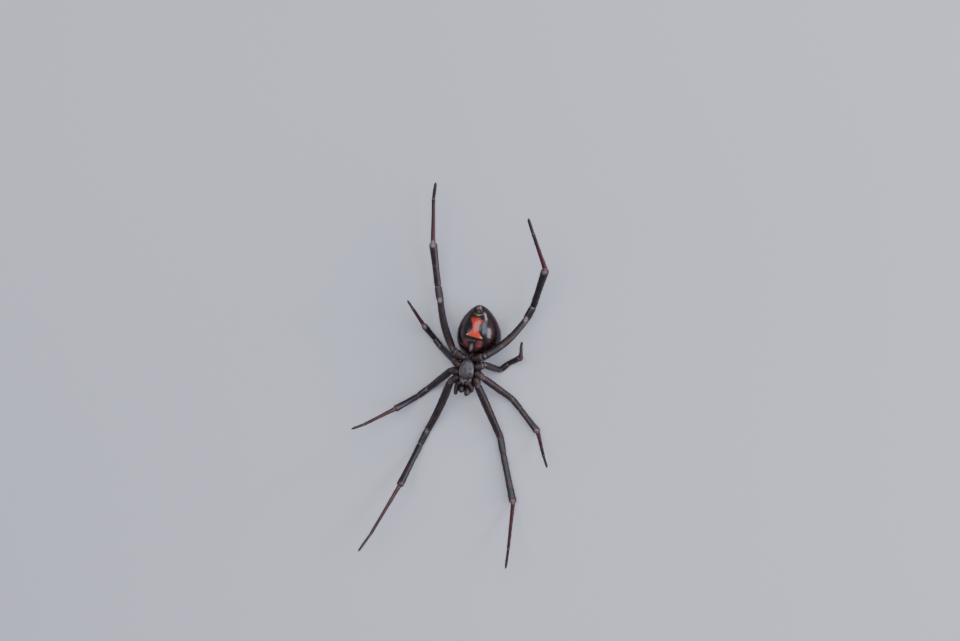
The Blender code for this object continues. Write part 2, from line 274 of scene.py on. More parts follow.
def smooth_through(places, values, at):
    """Reads a smooth curve that passes through values given at places."""
    places, values = np.asarray(places, float), np.asarray(values, float)
    slopes = np.gradient(values, places)
    k = np.clip(np.searchsorted(places, at) - 1, 0, len(places) - 2)
    width = places[k + 1] - places[k]
    t = np.clip((at - places[k]) / width, 0, 1)
    near = (1 + 2 * t) * (1 - t) ** 2 * values[k] + t * (1 - t) ** 2 * width * slopes[k]
    far = t * t * (3 - 2 * t) * values[k + 1] + t * t * (t - 1) * width * slopes[k + 1]
    return near + far


# %% A shaped sphere and a tube along a path
TUBE_SIDES = 20


def sort_faces(piece):
    """Puts a sphere's faces in order, because they come in a new one each run and bristles grow by it."""
    mesh = piece.data
    made = bmesh.new()
    made.from_mesh(mesh)
    made.faces.sort(key=lambda face: face.verts[0].index * len(mesh.vertices) + face.verts[1].index)
    made.to_mesh(mesh)
    made.free()


def shaped_sphere(name, segments, rings, shape, lie):
    """Moves a sphere's points, given by place along its axis and turn round it, to a shape in mm."""
    piece = new_piece(bpy.ops.mesh.primitive_uv_sphere_add, name, segments=segments, ring_count=rings)
    sort_faces(piece)
    x, y, place = read(piece.data.vertices, "co", 3).T
    write_points(piece, shape(np.clip(place, -1, 1), np.arctan2(y, x)))
    keep_value(piece, "lie", np.tile(lie, (len(place), 1)))
    return piece


def tube(name, points, radii, sides=TUBE_SIDES):
    """Makes a tube along points in mm, whose rings follow one another in its mesh."""
    piece = new_piece(bpy.ops.curve.primitive_nurbs_path_add, name)
    curve = piece.data
    curve.splines.clear()
    spline = curve.splines.new("POLY")
    spline.points.add(len(points) - 1)
    spline.points.foreach_set("co", np.c_[np.asarray(points) * MM, np.ones(len(points))].ravel())
    spline.points.foreach_set("radius", np.asarray(radii, float))
    curve.dimensions = "3D"
    curve.twist_mode = "MINIMUM"
    curve.bevel_depth = MM
    curve.bevel_resolution = (sides - 4) // 2
    bpy.ops.object.convert(target="MESH")
    piece.data.name = name
    keep_value(piece, "lie", np.repeat(unit(np.gradient(np.asarray(points), axis=0)), sides, axis=0))
    return piece


# %% [markdown]
# ## The finish of the abdomen
#
# The cuticle of the abdomen is thin, taut and polished by its own wax, like black lacquer over
# dark red brown. Chitin bends light a little more than glass paint does, with an index near 1.56.
# The hourglass isn't on the surface as paint is: it shows where pigment under clear cuticle is
# missing, so it is as glossy as the black. Its edge is drawn from its half width along the body,
# read from a ramp, so that it stays sharp at any distance.

# %% Lacquer black cuticle: the shape of the hourglass
BELLY_START, BELLY_LENGTH = 2.0, 3.0
# Place behind the waist and half width
HALF_WIDTHS = (
    (2.20, 1.02), (2.35, 0.93), (2.50, 0.79), (2.68, 0.62), (2.80, 0.50), (2.94, 0.40), (3.20, 0.33),
    (3.45, 0.35), (3.70, 0.43), (3.90, 0.57), (4.12, 0.69), (4.30, 0.70), (4.46, 0.50), (4.58, 0.24),
)
FRONT_EDGE, BACK_EDGE = 2.25, 4.64
# The middle line of the belly runs from the waist, which is off to the left, to the body's axis
MIDLINE_START, MIDLINE_END, MIDLINE_BEHIND = -0.58, -0.05, 2.5
lacquer, add, shader, place = new_finish("lacquer_black_cuticle", IOR=1.56, Coat_Roughness=0.05)
# The pattern's own axes in millimetres: X aside, Y behind the waist, Z height
own_axes = {
    "Location": (0, REST_BEHIND_WAIST, 0),
    "Rotation": (0, 0, math.radians(90 - TAIL_TURN)),
    "Scale": (1 / MM, 1 / MM, 1 / MM),
}
body = add("Mapping", {"Vector": place, **own_axes})
grain = add("TexNoise", {"Vector": body, "Scale": 2.2, "Detail": 3.0})
# A slow noise shifts the pattern by up to a tenth of a millimetre, so that no edge is a drawn line
ragged = add("TexNoise", {"Vector": body, "Scale": 1.6, "Detail": 2.0}, "Color")
shift = {"operation": "MULTIPLY_ADD", 0: ragged, 1: (0.22, 0.22, 0), 2: (-0.11, -0.11, 0)}
wavy = add("VectorMath", {"operation": "ADD", 0: body, 1: add("VectorMath", shift)})
axes = add("SeparateXYZ", {0: wavy}).node.outputs
midline = {"From Min": 0.0, "From Max": MIDLINE_BEHIND, "To Min": MIDLINE_START, "To Max": MIDLINE_END}
midline = add("MapRange", {"Value": axes["Y"], **midline})
across = add("Math", {"operation": "SUBTRACT", 0: axes["X"], 1: midline})
skewed = add("Math", {"operation": "MULTIPLY_ADD", 0: across, 1: 0.1, 2: axes["Y"]})
along = add("MapRange", {"Value": skewed, "From Min": BELLY_START, "From Max": BELLY_START + BELLY_LENGTH})
stops = [((behind - BELLY_START) / BELLY_LENGTH, half) for behind, half in HALF_WIDTHS]
widths = add("ValToRGB", {0: along, "stops": stops})
aside = add("Math", {"operation": "ABSOLUTE", 0: across})
inside = add("Math", {"operation": "SUBTRACT", 0: widths, 1: aside})
before = add("Math", {"operation": "SUBTRACT", 0: skewed, 1: FRONT_EDGE})
beyond = add("Math", {"operation": "SUBTRACT", 0: BACK_EDGE, 1: skewed})
# The back edge fades over a greater length than the others
beyond = add("Math", {"operation": "MULTIPLY", 0: beyond, 1: 0.22})
for limit in (before, beyond):
    inside = add("Math", {"operation": "MINIMUM", 0: inside, 1: limit})
high = add("MapRange", {"Value": axes["Z"], "From Min": 3.4, "From Max": 3.9})
edge = add("MapRange", {"Value": inside, "From Min": -0.015, "From Max": 0.05})
hourglass = add("Math", {"operation": "MULTIPLY", 0: edge, 1: high})
print("hourglass", BACK_EDGE - FRONT_EDGE, "mm long")

# %% [markdown]
# The red is orange in front and dark at the back. Grains of pigment lie unevenly in it, so orange
# flecks show, and cream shows at the two front corners, where the marking is thinnest. Round it
# the black lets a dark red through. In front of it lie the covers of the book lungs, two reddish
# brown plates, with a pale grey patch and the pit of the epigyne between them. The pit is painted
# near black, painted shade in the pit.

# %% Lacquer black cuticle: its colours
# Place along the marking and its colour
RED_STOPS = (
    (0.07, "#d96a34"), (0.12, "#d63a22"), (0.24, "#d8382b"), (0.36, "#bd231b"),
    (0.62, "#b6201f"), (0.72, "#ab1f19"), (0.81, "#7c1610"), (0.88, "#3c0c0a"),
)
# Each patch of the belly: place aside and behind, its reach both ways, strength and colour
PATCHES = (
    (0.78, 1.40, 0.42, 0.58, 0.95, "#8a3c3b"),
    # A pale grey patch between the covers of the book lungs
    (0.02, 0.98, 0.22, 0.50, 0.90, "#8f8380"),
    # The pit of the epigyne, painted near black: painted shade in the pit
    (0.28, 1.74, 0.22, 0.16, 0.90, "#080608"),
    (0.00, 4.90, 0.62, 0.20, 0.60, "#7d6243"),
)
reds = add("ValToRGB", {0: along, "stops": RED_STOPS})
fleck = add("TexNoise", {"Vector": body, "Scale": 7.0, "Detail": 4.0})
fleck = add("MapRange", {"Value": fleck, "From Min": 0.48, "From Max": 0.85, "To Max": 0.6})
pigment = add("Mix", {"data_type": "RGBA", 0: fleck, 6: reds, 7: linear("#e0681f")}, 2)
cornered = add("MapRange", {"Value": aside, "From Min": 0.58, "From Max": 0.90})
frontal = add("MapRange", {"Value": along, "From Min": 0.24, "From Max": 0.12})
corner = add("Math", {"operation": "MULTIPLY", 0: cornered, 1: frontal})
marking = add("Mix", {"data_type": "RGBA", 0: corner, 6: pigment, 7: linear("#e3bd80")}, 2)
ground = add("ValToRGB", {0: grain, "stops": ((0.44, "#130a0b"), (0.70, "#341315"))})
front = add("MapRange", {"Value": axes["Z"], "From Min": 3.0, "From Max": 3.6})
# The patches fade into the black unevenly, where the pigment under the cuticle thins out
patchy = add("MapRange", {"Value": grain, "From Min": 0.38, "From Max": 0.58, "To Min": 0.45})
front = add("Math", {"operation": "MULTIPLY", 0: front, 1: patchy})
belly = add("CombineXYZ", {"X": aside, "Y": axes["Y"]})
for out, back, wide, long, strength, code in PATCHES:
    oval = {"Location": (-out / wide, -back / long, 0), "Scale": (1 / wide, 1 / long, 0)}
    away = add("VectorMath", {"operation": "LENGTH", 0: add("Mapping", {"Vector": belly, **oval})}, "Value")
    share = add("MapRange", {"Value": away, "From Min": 1.15, "From Max": 0.30, "To Max": strength})
    share = add("Math", {"operation": "MULTIPLY", 0: share, 1: front})
    ground = add("Mix", {"data_type": "RGBA", 0: share, 6: ground, 7: linear(code)}, 2)
colour = add("Mix", {"data_type": "RGBA", 0: hourglass, 6: ground, 7: marking}, 2)
# The wax is a little uneven, which breaks the edges of what it mirrors
waxy = add("MapRange", {"Value": grain, "To Min": 0.13, "To Max": 0.30})
# Down is densest on the flanks, at half the height, and dims what the wax mirrors there
flank = add("Math", {"operation": "SUBTRACT", 0: axes["Z"], 1: 3.3})
flank = add("Math", {"operation": "ABSOLUTE", 0: flank})
polish = add("MapRange", {"Value": flank, "From Min": 0.7, "From Max": 1.6, "To Min": 0.12, "To Max": 0.5})
coat = add("Math", {"operation": "MULTIPLY_ADD", 0: polish, 1: 0.6, 2: -0.05})
leather = add("TexNoise", {"Vector": body, "Scale": 5.0, "Detail": 4.0})
relief = add("Bump", {"Height": leather, "Strength": 0.35, "Distance": 0.03 * MM})
feed(
    lacquer,
    shader,
    Base_Color=colour,
    Roughness=waxy,
    Specular_IOR_Level=polish,
    Coat_Weight=coat,
    Normal=relief,
)

# %% [markdown]
# ## The abdomen
#
# It is an egg, widest before its middle, fuller in the belly than along the back, and pointed at
# the spinnerets. A sphere's rings are moved to that egg, and small forms are then raised or sunk
# along its normals: the furrow across the belly, the covers of the book lungs, the lip and pit of
# the epigyne, the collar round the spinnerets, and the dimples where muscles pull on the back.

# %% Shape the abdomen
EGG_MIDDLE, EGG_HALF_LENGTH = 2.68, 3.23
# Each follows the place along the egg, from -1 to 1, by a constant, a slope and a curve
EGG_WIDTH, EGG_BELLY = (2.5, -0.38, -0.42), (2.92, -0.72, -0.8)
EGG_BACK, EGG_LEVEL = (2.5, 0.37, 0.07), (2.5, 1.05, 0.65)
TAIL_FOOT, TAIL_AXIS = on_abdomen(5.35, 0, 4.73), heading(TAIL_TURN, 60)
FURROW_BEHIND, FURROW_WIDTH = 1.92, 0.07
# Each hill of the belly: place aside and behind, how much wider it is than long, reach and rise
BELLY_HILLS = {
    "cover of a book lung": (0.84, 1.38, 1.15, 0.55, 0.06),
    "lip of the epigyne": (0.00, 1.70, 1.7, 0.24, 0.075),
    "pit of the epigyne": (0.00, 1.74, 1.9, 0.09, -0.10),
}
COLLAR_RADIUS, GUTTER_RADIUS = 0.60, 0.47
DIMPLES, DIMPLE_REACH = ((0.62, 1.6), (0.78, 2.7), (0.7, 3.7)), 0.26


def curved(sizes, place):
    return sizes[0] + sizes[1] * place + sizes[2] * place**2


def egg(place, turn):
    swell = np.sqrt(np.clip(1 - place * place, 0, 1))
    across = swell * curved(EGG_WIDTH, place) * np.cos(turn)
    deep = swell * np.where(np.sin(turn) > 0, curved(EGG_BELLY, place), curved(EGG_BACK, place))
    high = curved(EGG_LEVEL, place) + np.sin(turn) * deep
    return on_abdomen(EGG_MIDDLE + EGG_HALF_LENGTH * place, across, high)


abdomen = shaped_sphere("abdomen_skin", 192, 144, egg, TAILWARD)
points = read_points(abdomen)
behind, aside, height = measured(points, ABDOMEN_FOOT, (TAILWARD, ABDOMEN_RIGHT, UP))
ventral = smoothstep(3.0, 3.8, height)
middle = MIDLINE_START + (MIDLINE_END - MIDLINE_START) * np.clip(behind / MIDLINE_BEHIND, 0, 1)
aside = aside - middle * ventral
out = np.abs(aside)
furrow = ridge(behind - FURROW_BEHIND + 0.10 * aside**2, FURROW_WIDTH) * smoothstep(1.5, 1.1, out)
rise = -0.05 * furrow
for place, back, wider, reach, lift in BELLY_HILLS.values():
    rise += lift * hill(np.hypot((out - place) / wider, behind - back), reach)
rise *= ventral
tail = points - TAIL_FOOT
from_axis = np.linalg.norm(tail - spread(tail @ TAIL_AXIS, TAIL_AXIS), axis=1)
collar = 0.035 * ridge(from_axis - COLLAR_RADIUS, 0.10) - 0.045 * ridge(from_axis - GUTTER_RADIUS, 0.06)
rise += collar * smoothstep(4.0, 4.6, behind)
for place, back in DIMPLES:
    rise -= 0.05 * hill(np.hypot(out - place, behind - back), DIMPLE_REACH) * smoothstep(2.6, 1.6, height)
points = raised(abdomen, points, rise, on_abdomen(EGG_MIDDLE, 0, 2.6))
points[:, 2] = np.maximum(points[:, 2], 0)
write_points(abdomen, points)
home(abdomen, lacquer, ["abdomen"])

# %% [markdown]
# ## Soft grey brown skin of the spinnerets
#
# The spinnerets are six small, hairy, jointed cones round the tip of the tail, with a lobe over the
# vent behind them. Their skin is matt, greyer and browner than the abdomen, like unpolished horn.
# It is paler towards each tip. Towards the foot of each cone and on the mound between them it is
# painted nearly black, painted shade in the clefts. Each point carries its share of the way to the
# tip, and the colour is read from that.

# %% Horn brown skin
# Near black at the foot of each cone and on the mound: painted shade in the clefts
HORN_AND_CLEFT_SHADE_STOPS = ((0.05, "#171113"), (0.35, "#4a3a35"), (0.7, "#857669"), (0.95, "#5a4a44"))
horn, add, shader, place = new_finish("unpolished_horn_skin_and_cleft_shade", IOR=1.5)
mottle = add("TexNoise", {"Vector": place, "Scale": 6000.0, "Detail": 3.0})
worn = add("Math", {"operation": "MULTIPLY_ADD", 0: mottle, 1: 0.5, 2: -0.25})
tipward = add("Attribute", {"attribute_name": "tipward"}, "Fac")
browns = add("ValToRGB", {0: add("Math", {"operation": "ADD", 0: worn, 1: tipward}), "stops": HORN_AND_CLEFT_SHADE_STOPS})
dull = add("MapRange", {"Value": mottle, "To Min": 0.38, "To Max": 0.55})
relief = add("Bump", {"Height": mottle, "Strength": 0.4, "Distance": 0.012 * MM})
feed(horn, shader, Base_Color=browns, Roughness=dull, Normal=relief)

# %% [markdown]
# ## The spinnerets
#
# Each is a short cone of two joints that leans inwards, so each is a tube whose radius drops at the
# joint and closes at a blunt tip. The front pair is the largest. Together they lean towards the
# tail, with a soft lobe in front of them and the vent's lobe behind. They are joined into one piece.

# %% Model the spinnerets
# Distance from the middle, turn round it, length and radius
SPINNERETS = (
    (0.21, 150, 0.62, 0.175), (0.21, 30, 0.62, 0.175), (0.25, 212, 0.52, 0.15), (0.25, 328, 0.52, 0.15),
    (0.09, 190, 0.40, 0.07), (0.09, 350, 0.40, 0.07), (0.36, 90, 0.20, 0.10), (0.38, 270, 0.40, 0.19),
)
CONE_STEPS = np.array((0.0, 0.25, 0.48, 0.54, 0.60, 0.75, 0.90, 0.97, 1.0))
CONE_SHARES = np.array((1.0, 1.08, 0.98, 0.80, 0.80, 0.72, 0.52, 0.34, 0.14))
MOUND_STEPS, MOUND_RADII = (-0.30, -0.08, 0.04, 0.12, 0.16), (0.50, 0.49, 0.45, 0.36, 0.18)
CONE_SIDES, CONE_RISE, CONE_LEAN, CONE_OUT = 16, 44, 0.24, 0.02
TAIL_UP = np.cross(ABDOMEN_RIGHT, TAIL_AXIS)


def joined(pieces, name):
    """Closes some pieces and makes them one."""
    for one in pieces:
        cap_ends(one)
        bpy.ops.object.mode_set(mode="OBJECT")
    deselect()
    for one in pieces:
        one.select_set(True)
    bpy.context.view_layer.objects.active = pieces[0]
    bpy.ops.object.join()
    whole = bpy.context.object
    whole.name = whole.data.name = name
    return whole


mound = tube("spinneret_mound", [TAIL_FOOT + TAIL_AXIS * step for step in MOUND_STEPS], MOUND_RADII)
keep_value(mound, "tipward", np.zeros(len(mound.data.vertices)))
cones = [mound]
for out, turn, length, radius in SPINNERETS:
    spoke = ABDOMEN_RIGHT * math.cos(math.radians(turn)) + TAIL_UP * math.sin(math.radians(turn))
    way = heading(TAIL_TURN, CONE_RISE) - CONE_LEAN * spoke
    foot = TAIL_FOOT + TAIL_AXIS * CONE_OUT + spoke * out
    path = foot + spread(length * CONE_STEPS, way)
    cone = tube("spinneret_cone", path, radius * CONE_SHARES, CONE_SIDES)
    keep_value(cone, "tipward", np.repeat(CONE_STEPS, CONE_SIDES))
    cones.append(cone)
spinnerets = home(joined(cones, "spinnerets_group"), horn, ["spinnerets"])

# %% [markdown]
# ## Hard cuticle of the head
#
# The front half carries thicker, harder plates than the abdomen: still glossy, but greyer, with a
# fine leathery grain. The plate between the legs, the sternum, is the greyest. Its rim is painted
# paler, a painted highlight along the sternum's sides.
# The skin between plates is soft and duller. One recipe serves them all, and each is named for
# what it is and how it shines.

# %% Cuticle in nine tones
def plate_finish(name, dark, light, rough=(0.24, 0.42), grain_mm=0.35, low=0.30, high=0.75):
    """Cuticle whose tone drifts from dark to light over a few tenths of a millimetre."""
    finish, add, shader, place = new_finish(name, IOR=1.56)
    drift = add("TexNoise", {"Vector": place, "Scale": 1 / (grain_mm * MM), "Detail": 4.0})
    tones = add("ValToRGB", {0: drift, "stops": ((low, dark), (high, light))})
    gloss = add("MapRange", {"Value": drift, "To Min": rough[0], "To Max": rough[1]})
    fine = add("TexNoise", {"Vector": place, "Scale": 4 / (grain_mm * MM), "Detail": 3.0})
    relief = add("Bump", {"Height": fine, "Strength": 0.4, "Distance": 0.015 * MM})
    feed(finish, shader, Base_Color=tones, Roughness=gloss, Normal=relief)
    return finish


carapace_cuticle = plate_finish("satin_black_cuticle", "#141113", "#2e2628", low=0.35)
sternum_cuticle = plate_finish("slate_grey_cuticle", "#2c2a30", "#504e57", (0.26, 0.38))
# The rim's pale tone is a painted highlight along the sternum's sides
sternum_rim_highlight_cuticle = plate_finish("pale_rim_painted_highlight", "#3a2f33", "#7d6d72")
jaw_cuticle = plate_finish("dark_red_brown_cuticle", "#150b0e", "#34171b", (0.32, 0.46))
mouth_cuticle = plate_finish("grey_brown_lobe_cuticle", "#2e2625", "#6a5e5a", (0.30, 0.45))
pleura_skin = plate_finish("dull_brown_side_skin", "#181012", "#332628", (0.45, 0.6), 0.2)
waist_skin = plate_finish("matt_black_brown_waist_skin", "#0b0708", "#1c1213", (0.6, 0.75), 0.2)
fang_finish = plate_finish("polished_dark_brown_fang", "#1a0c0a", "#4a1f17", (0.10, 0.2), high=0.8)
claw_finish = plate_finish("polished_black_claw", "#0c0a0b", "#231716", (0.15, 0.3), high=0.8)

# %% [markdown]
# ## The carapace
#
# The shield over the back of the front half is pear shaped: a broad part that holds the leg
# muscles, and a narrower, higher head. Its sections are half ellipses between the rim and the
# ridge. A pit marks the middle of the back, grooves run from it to each leg, and a V shaped groove
# parts the head. The face is hollowed under the eyes.

# %% Shape the carapace
# Ahead of the waist, half width, height of the rim, height of the back's ridge
CARAPACE_SECTIONS = (
    (0.18, 0.50, -0.24, -0.36), (0.45, 0.94, -0.48, -0.84), (0.85, 1.26, -0.74, -1.32),
    (1.45, 1.42, -0.85, -1.74), (2.05, 1.40, -0.86, -1.90), (2.45, 1.24, -0.84, -1.92),
    (2.80, 1.06, -0.80, -1.88), (3.08, 0.97, -0.80, -1.82), (3.30, 0.92, -0.84, -1.76),
    (3.55, 0.84, -0.93, -1.68), (3.78, 0.70, -1.06, -1.54), (3.90, 0.62, -1.14, -1.45),
)
SHIELD_MIDDLE, SHIELD_HALF_LENGTH = 2.02, 1.86
# The plate's edge hangs below its rim, its underside is shallow, and deeper at the face
EDGE_DROP, UNDERSIDE, FACE_DEPTH, LIP_SHARE = 0.07, 0.17, 0.16, 0.03
# The pit, the hollow of the face, and how deep the forms of the back and the face are sunk
PIT_AHEAD, HOLLOW_HEIGHT = 1.30, -1.08
PIT_DEPTH, GROOVE_DEPTH, RAY_DEPTH, HOLLOW_DEPTH = 0.10, 0.05, 0.03, 0.05
HEAD_AXES = (FORWARD, HEAD_RIGHT, HEAD_UP)


def shield(place, turn):
    steps, halves, rims, ridges = np.array(CARAPACE_SECTIONS).T
    ahead = SHIELD_MIDDLE + SHIELD_HALF_LENGTH * place
    cap = np.sqrt(np.clip(1 - np.abs(place) ** 7, 0, 1))
    half = smooth_through(steps, halves, ahead) * cap
    rim, top = smooth_through(steps, rims, ahead), smooth_through(steps, ridges, ahead)
    middle = (rim + top) / 2
    rim, top = middle + (rim - middle) * cap, middle + (top - middle) * cap
    cosine, sine = np.cos(turn), np.sin(turn)
    # The face rounds over to the jaws, while further back the plate ends in a thin lip
    face = smoothstep(3.1, 3.6, ahead)
    across = half * np.sign(cosine) * np.abs(cosine) ** (0.8 + 0.2 * face)
    lip = 1 + LIP_SHARE * (1 - face) * ridge(sine, 0.12)
    edge = rim - EDGE_DROP * cap
    dorsal = edge + (top - edge) * np.abs(sine)
    ventral = edge + (UNDERSIDE + FACE_DEPTH * face) * np.abs(sine) * cap
    return on_head(ahead, across * lip, np.where(sine < 0, dorsal, ventral))


carapace = shaped_sphere("carapace", 128, 96, shield, -FORWARD)
points = read_points(carapace)
ahead, aside, height = measured(points, WAIST, HEAD_AXES)
out = np.abs(aside)
dorsal = smoothstep(-1.0, -1.3, height) * smoothstep(3.7, 3.4, ahead)
pit = hill(np.hypot((ahead - PIT_AHEAD) / 1.5, aside), 0.24)
groove = ridge(ahead - 1.45 - 1.15 * out, 0.10) * smoothstep(1.25, 0.9, out) * smoothstep(0.02, 0.2, out)
turned = np.arctan2(ahead - PIT_AHEAD, np.maximum(out, 0.01))
reach = np.hypot(ahead - PIT_AHEAD, out)
rays = np.cos(turned * 7.0 + 0.4) ** 8 * smoothstep(0.25, 0.5, reach) * smoothstep(1.2, 0.9, reach)
hollow = ridge(height - HOLLOW_HEIGHT, 0.10) * smoothstep(3.55, 3.75, ahead) * smoothstep(0.55, 0.2, out)
rise = -dorsal * (PIT_DEPTH * pit + GROOVE_DEPTH * groove + RAY_DEPTH * rays) - HOLLOW_DEPTH * hollow
write_points(carapace, raised(carapace, points, rise, on_head(SHIELD_MIDDLE, 0, -1.3)))
home(carapace, carapace_cuticle, ["cephalothorax"])

# %% [markdown]
# ## Under the carapace
#
# Soft side skin closes the gap between the carapace and the sternum, and the legs grow from it.
# The sternum is a shield shaped plate, pointed to the waist, a little domed, with a raised rim. In
# front of it lie the lip, a small plate, and the two endites, lobes that lean together over the
# mouth. At the other end the waist is a thin stalk, whose soft skin folds into rings at its bend.

# %% Side skin and sternum
# Each is ahead of the waist, half width and height
PLEURA = (
    (0.10, 0.30, -0.08), (0.50, 0.58, 0.08), (0.90, 0.78, 0.16), (1.50, 0.86, 0.19), (2.10, 0.86, 0.17),
    (2.60, 0.74, 0.08), (3.00, 0.66, -0.12), (3.30, 0.60, -0.40), (3.50, 0.46, -0.66),
)
STERNUM = (
    (0.34, 0.06, 0.17), (0.54, 0.25, 0.22), (0.84, 0.45, 0.26), (1.22, 0.60, 0.28),
    (1.62, 0.68, 0.28), (2.04, 0.69, 0.26), (2.32, 0.62, 0.23), (2.48, 0.46, 0.20),
)
RIM = [(ahead, half * 1.08 + 0.12, top - 0.10) for ahead, half, top in STERNUM]
SWELL_HEIGHT, LEG_SPACING = 0.018, 0.62


def section_plate(name, sections, dome, thick, segments=72, rings=48, power=6):
    """A flat plate on the belly side of the head from (ahead, half width, height) sections."""
    steps, halves, heights = np.array(sections).T
    middle, reach = (steps[0] + steps[-1]) / 2, (steps[-1] - steps[0]) / 2

    def shape(place, turn):
        ahead = middle + reach * place
        cap = np.sqrt(np.clip(1 - np.abs(place) ** power, 0, 1))
        half = smooth_through(steps, halves, ahead) * cap
        cosine, sine = np.cos(turn), np.sin(turn)
        across = half * np.sign(cosine) * np.abs(cosine) ** 0.75
        swell = np.where(sine > 0, dome * np.abs(sine) ** 0.9, thick * sine) * cap
        return on_head(ahead, across, smooth_through(steps, heights, ahead) + swell)

    return shaped_sphere(name, segments, rings, shape, -FORWARD)


home(section_plate("side_skin", PLEURA, 0.06, 0.85), pleura_skin)
# The rim, painted paler: a painted highlight along the sternum's sides
home(section_plate("sternum_rim", RIM, 0.11, 0.12), sternum_rim_highlight_cuticle)
sternum = section_plate("sternum", STERNUM, 0.10, 0.14)
points = read_points(sternum)
ahead, aside, height = measured(points, WAIST, HEAD_AXES)
# Four low swellings on each side point to the legs, with shallow valleys between them
swell = SWELL_HEIGHT * np.cos((ahead - 0.55) * 2 * math.pi / LEG_SPACING)
swell *= smoothstep(0.25, 0.6, np.abs(aside))
write_points(sternum, points + spread(swell * smoothstep(0.1, 0.25, height), HEAD_UP))
home(sternum, sternum_cuticle)

# %% Waist
socket = on_abdomen(0.2, -0.24, 4.0)
half_way = (WAIST + socket - TAILWARD * 0.12) / 2
waist_knots = (
    on_head(0.50, 0, -0.26),
    on_head(0.25, 0, -0.26),
    half_way - UP * 0.12,
    socket - UP * 0.06,
    socket + TAILWARD * 0.40 - UP * 0.12,
)
WAIST_RADII, FOLD_DEPTH, FOLDS = (0.34, 0.24, 0.19, 0.24, 0.36), 0.07, 12
knots, at = np.arange(5), np.linspace(0, 4, 41)
waist_path = np.stack([smooth_through(knots, column, at) for column in np.transpose(waist_knots)], axis=1)
waist_radius = smooth_through(knots, WAIST_RADII, at) * (1 + FOLD_DEPTH * np.cos(at * FOLDS))
home(tube("waist", waist_path, waist_radius), waist_skin, ["pedicel"])

# %% [markdown]
# ## Mouthparts
#
# Widows have small, slim jaws. Each jaw, or chelicera, is a tapering tube that bulges at its base,
# with a short curved fang folded across its tip. Lip and endites are pads with rounded edges.

# %% Lip, endites, chelicerae and fangs
JAW_ROOT, MOUTH_ASIDE = 3.42, -0.04
LIP = ((2.60, 0.30, 0.13), (2.78, 0.28, 0.15), (2.98, 0.14, 0.12))
# Each is ahead, aside, up and radius
ENDITE = (
    (2.48, 0.56, 0.00, 0.12), (2.64, 0.52, 0.08, 0.21), (2.90, 0.35, 0.11, 0.22), (3.14, 0.20, 0.07, 0.18),
    (3.26, 0.13, 0.03, 0.07),
)
CHELICERA = (
    (3.34, 0.33, -0.56, 0.16), (3.46, 0.34, -0.46, 0.31), (3.66, 0.37, -0.34, 0.39),
    (3.96, 0.37, -0.18, 0.38), (4.20, 0.33, -0.03, 0.28), (4.33, 0.31, 0.05, 0.19),
    (4.38, 0.30, 0.09, 0.07),
)
FANG = (
    (4.24, 0.31, 0.04, 0.10), (4.37, 0.30, 0.14, 0.095), (4.37, 0.26, 0.25, 0.08), (4.25, 0.20, 0.32, 0.06),
    (4.08, 0.14, 0.345, 0.035), (3.99, 0.11, 0.345, 0.008),
)
# The left jaw is drawn in and the right one thrust forward, as the photograph shows
JAW_REACH = {"left": 0.74, "right": 1.08}


def limb_path(stations, sign, shift=0.0, steps=9, stretch=1.0):
    """A smooth path and radii through (ahead, aside, up, radius) stations on the head."""
    table = np.array(stations)
    table[:, 0] = JAW_ROOT + (table[:, 0] - JAW_ROOT) * stretch
    knots = np.arange(len(table))
    at = np.linspace(0, len(table) - 1, (len(table) - 1) * steps + 1)
    ahead, aside, up, radius = (smooth_through(knots, column, at) for column in table.T)
    return on_head(ahead, aside * sign + shift, up), radius, at


home(section_plate("labium", LIP, 0.09, 0.14, 48, 28, 4), mouth_cuticle)
mouth_skins = []
for side, sign in RIGHT_AND_LEFT.items():
    path, radius, at = limb_path(ENDITE, sign)
    mouth_skins.append(home(tube(f"endite_{side}", path, radius), mouth_cuticle))
    path, radius, at = limb_path(CHELICERA, sign, MOUTH_ASIDE, stretch=JAW_REACH[side])
    jaw = home(tube(f"jaw_{side}", path, radius), jaw_cuticle, [f"chelicera_{side}"])
    mouth_skins.append(jaw)
    path, radius, at = limb_path(FANG, sign, MOUTH_ASIDE, stretch=JAW_REACH[side])
    home(tube(f"fang_tooth_{side}", path, radius, 12), fang_finish, [f"fang_{side}"])

# %% [markdown]
# ## Eyes
#
# A widow has eight small eyes in two rows. Each is a clear lens over a dark cup, so it is a black,
# very glossy dome with a flat foot, set into the head in a low collar of cuticle. One lens and one
# collar are modelled pointing up, a millimetre wide, and each eye gets its own copies: turned to
# look out from the middle of the head, and scaled to its size.

# %% Model one lens and one collar
eye_glass, add, shader, place = new_finish(
    "clear_lens_over_black_cup", Roughness=0.04, IOR=1.6, Coat_Weight=1.0, Coat_Roughness=0.02
)
depth = add("TexNoise", {"Vector": place, "Scale": 9000.0})
feed(eye_glass, shader, Base_Color=add("ValToRGB", {0: depth, "stops": ((0, "#08080a"), (1, "#2b1d17"))}))


def reshape(piece, test, scale, height=0.0, lift=0.0):
    """Scales about a height, and lifts, those points of a piece whose place in mm passes a test."""
    edit(piece)
    bpy.ops.object.mode_set(mode="OBJECT")
    for point in piece.data.vertices:
        point.select = bool(test(point.co / MM))
    bpy.ops.object.mode_set(mode="EDIT")
    bpy.ops.transform.resize(value=scale, center_override=(0, 0, height * MM))
    bpy.ops.transform.translate(value=(0, 0, lift * MM))
    bpy.ops.object.mode_set(mode="OBJECT")


lens = new_piece(bpy.ops.mesh.primitive_uv_sphere_add, "lens", segments=32, ring_count=20, radius=MM)
sort_faces(lens)
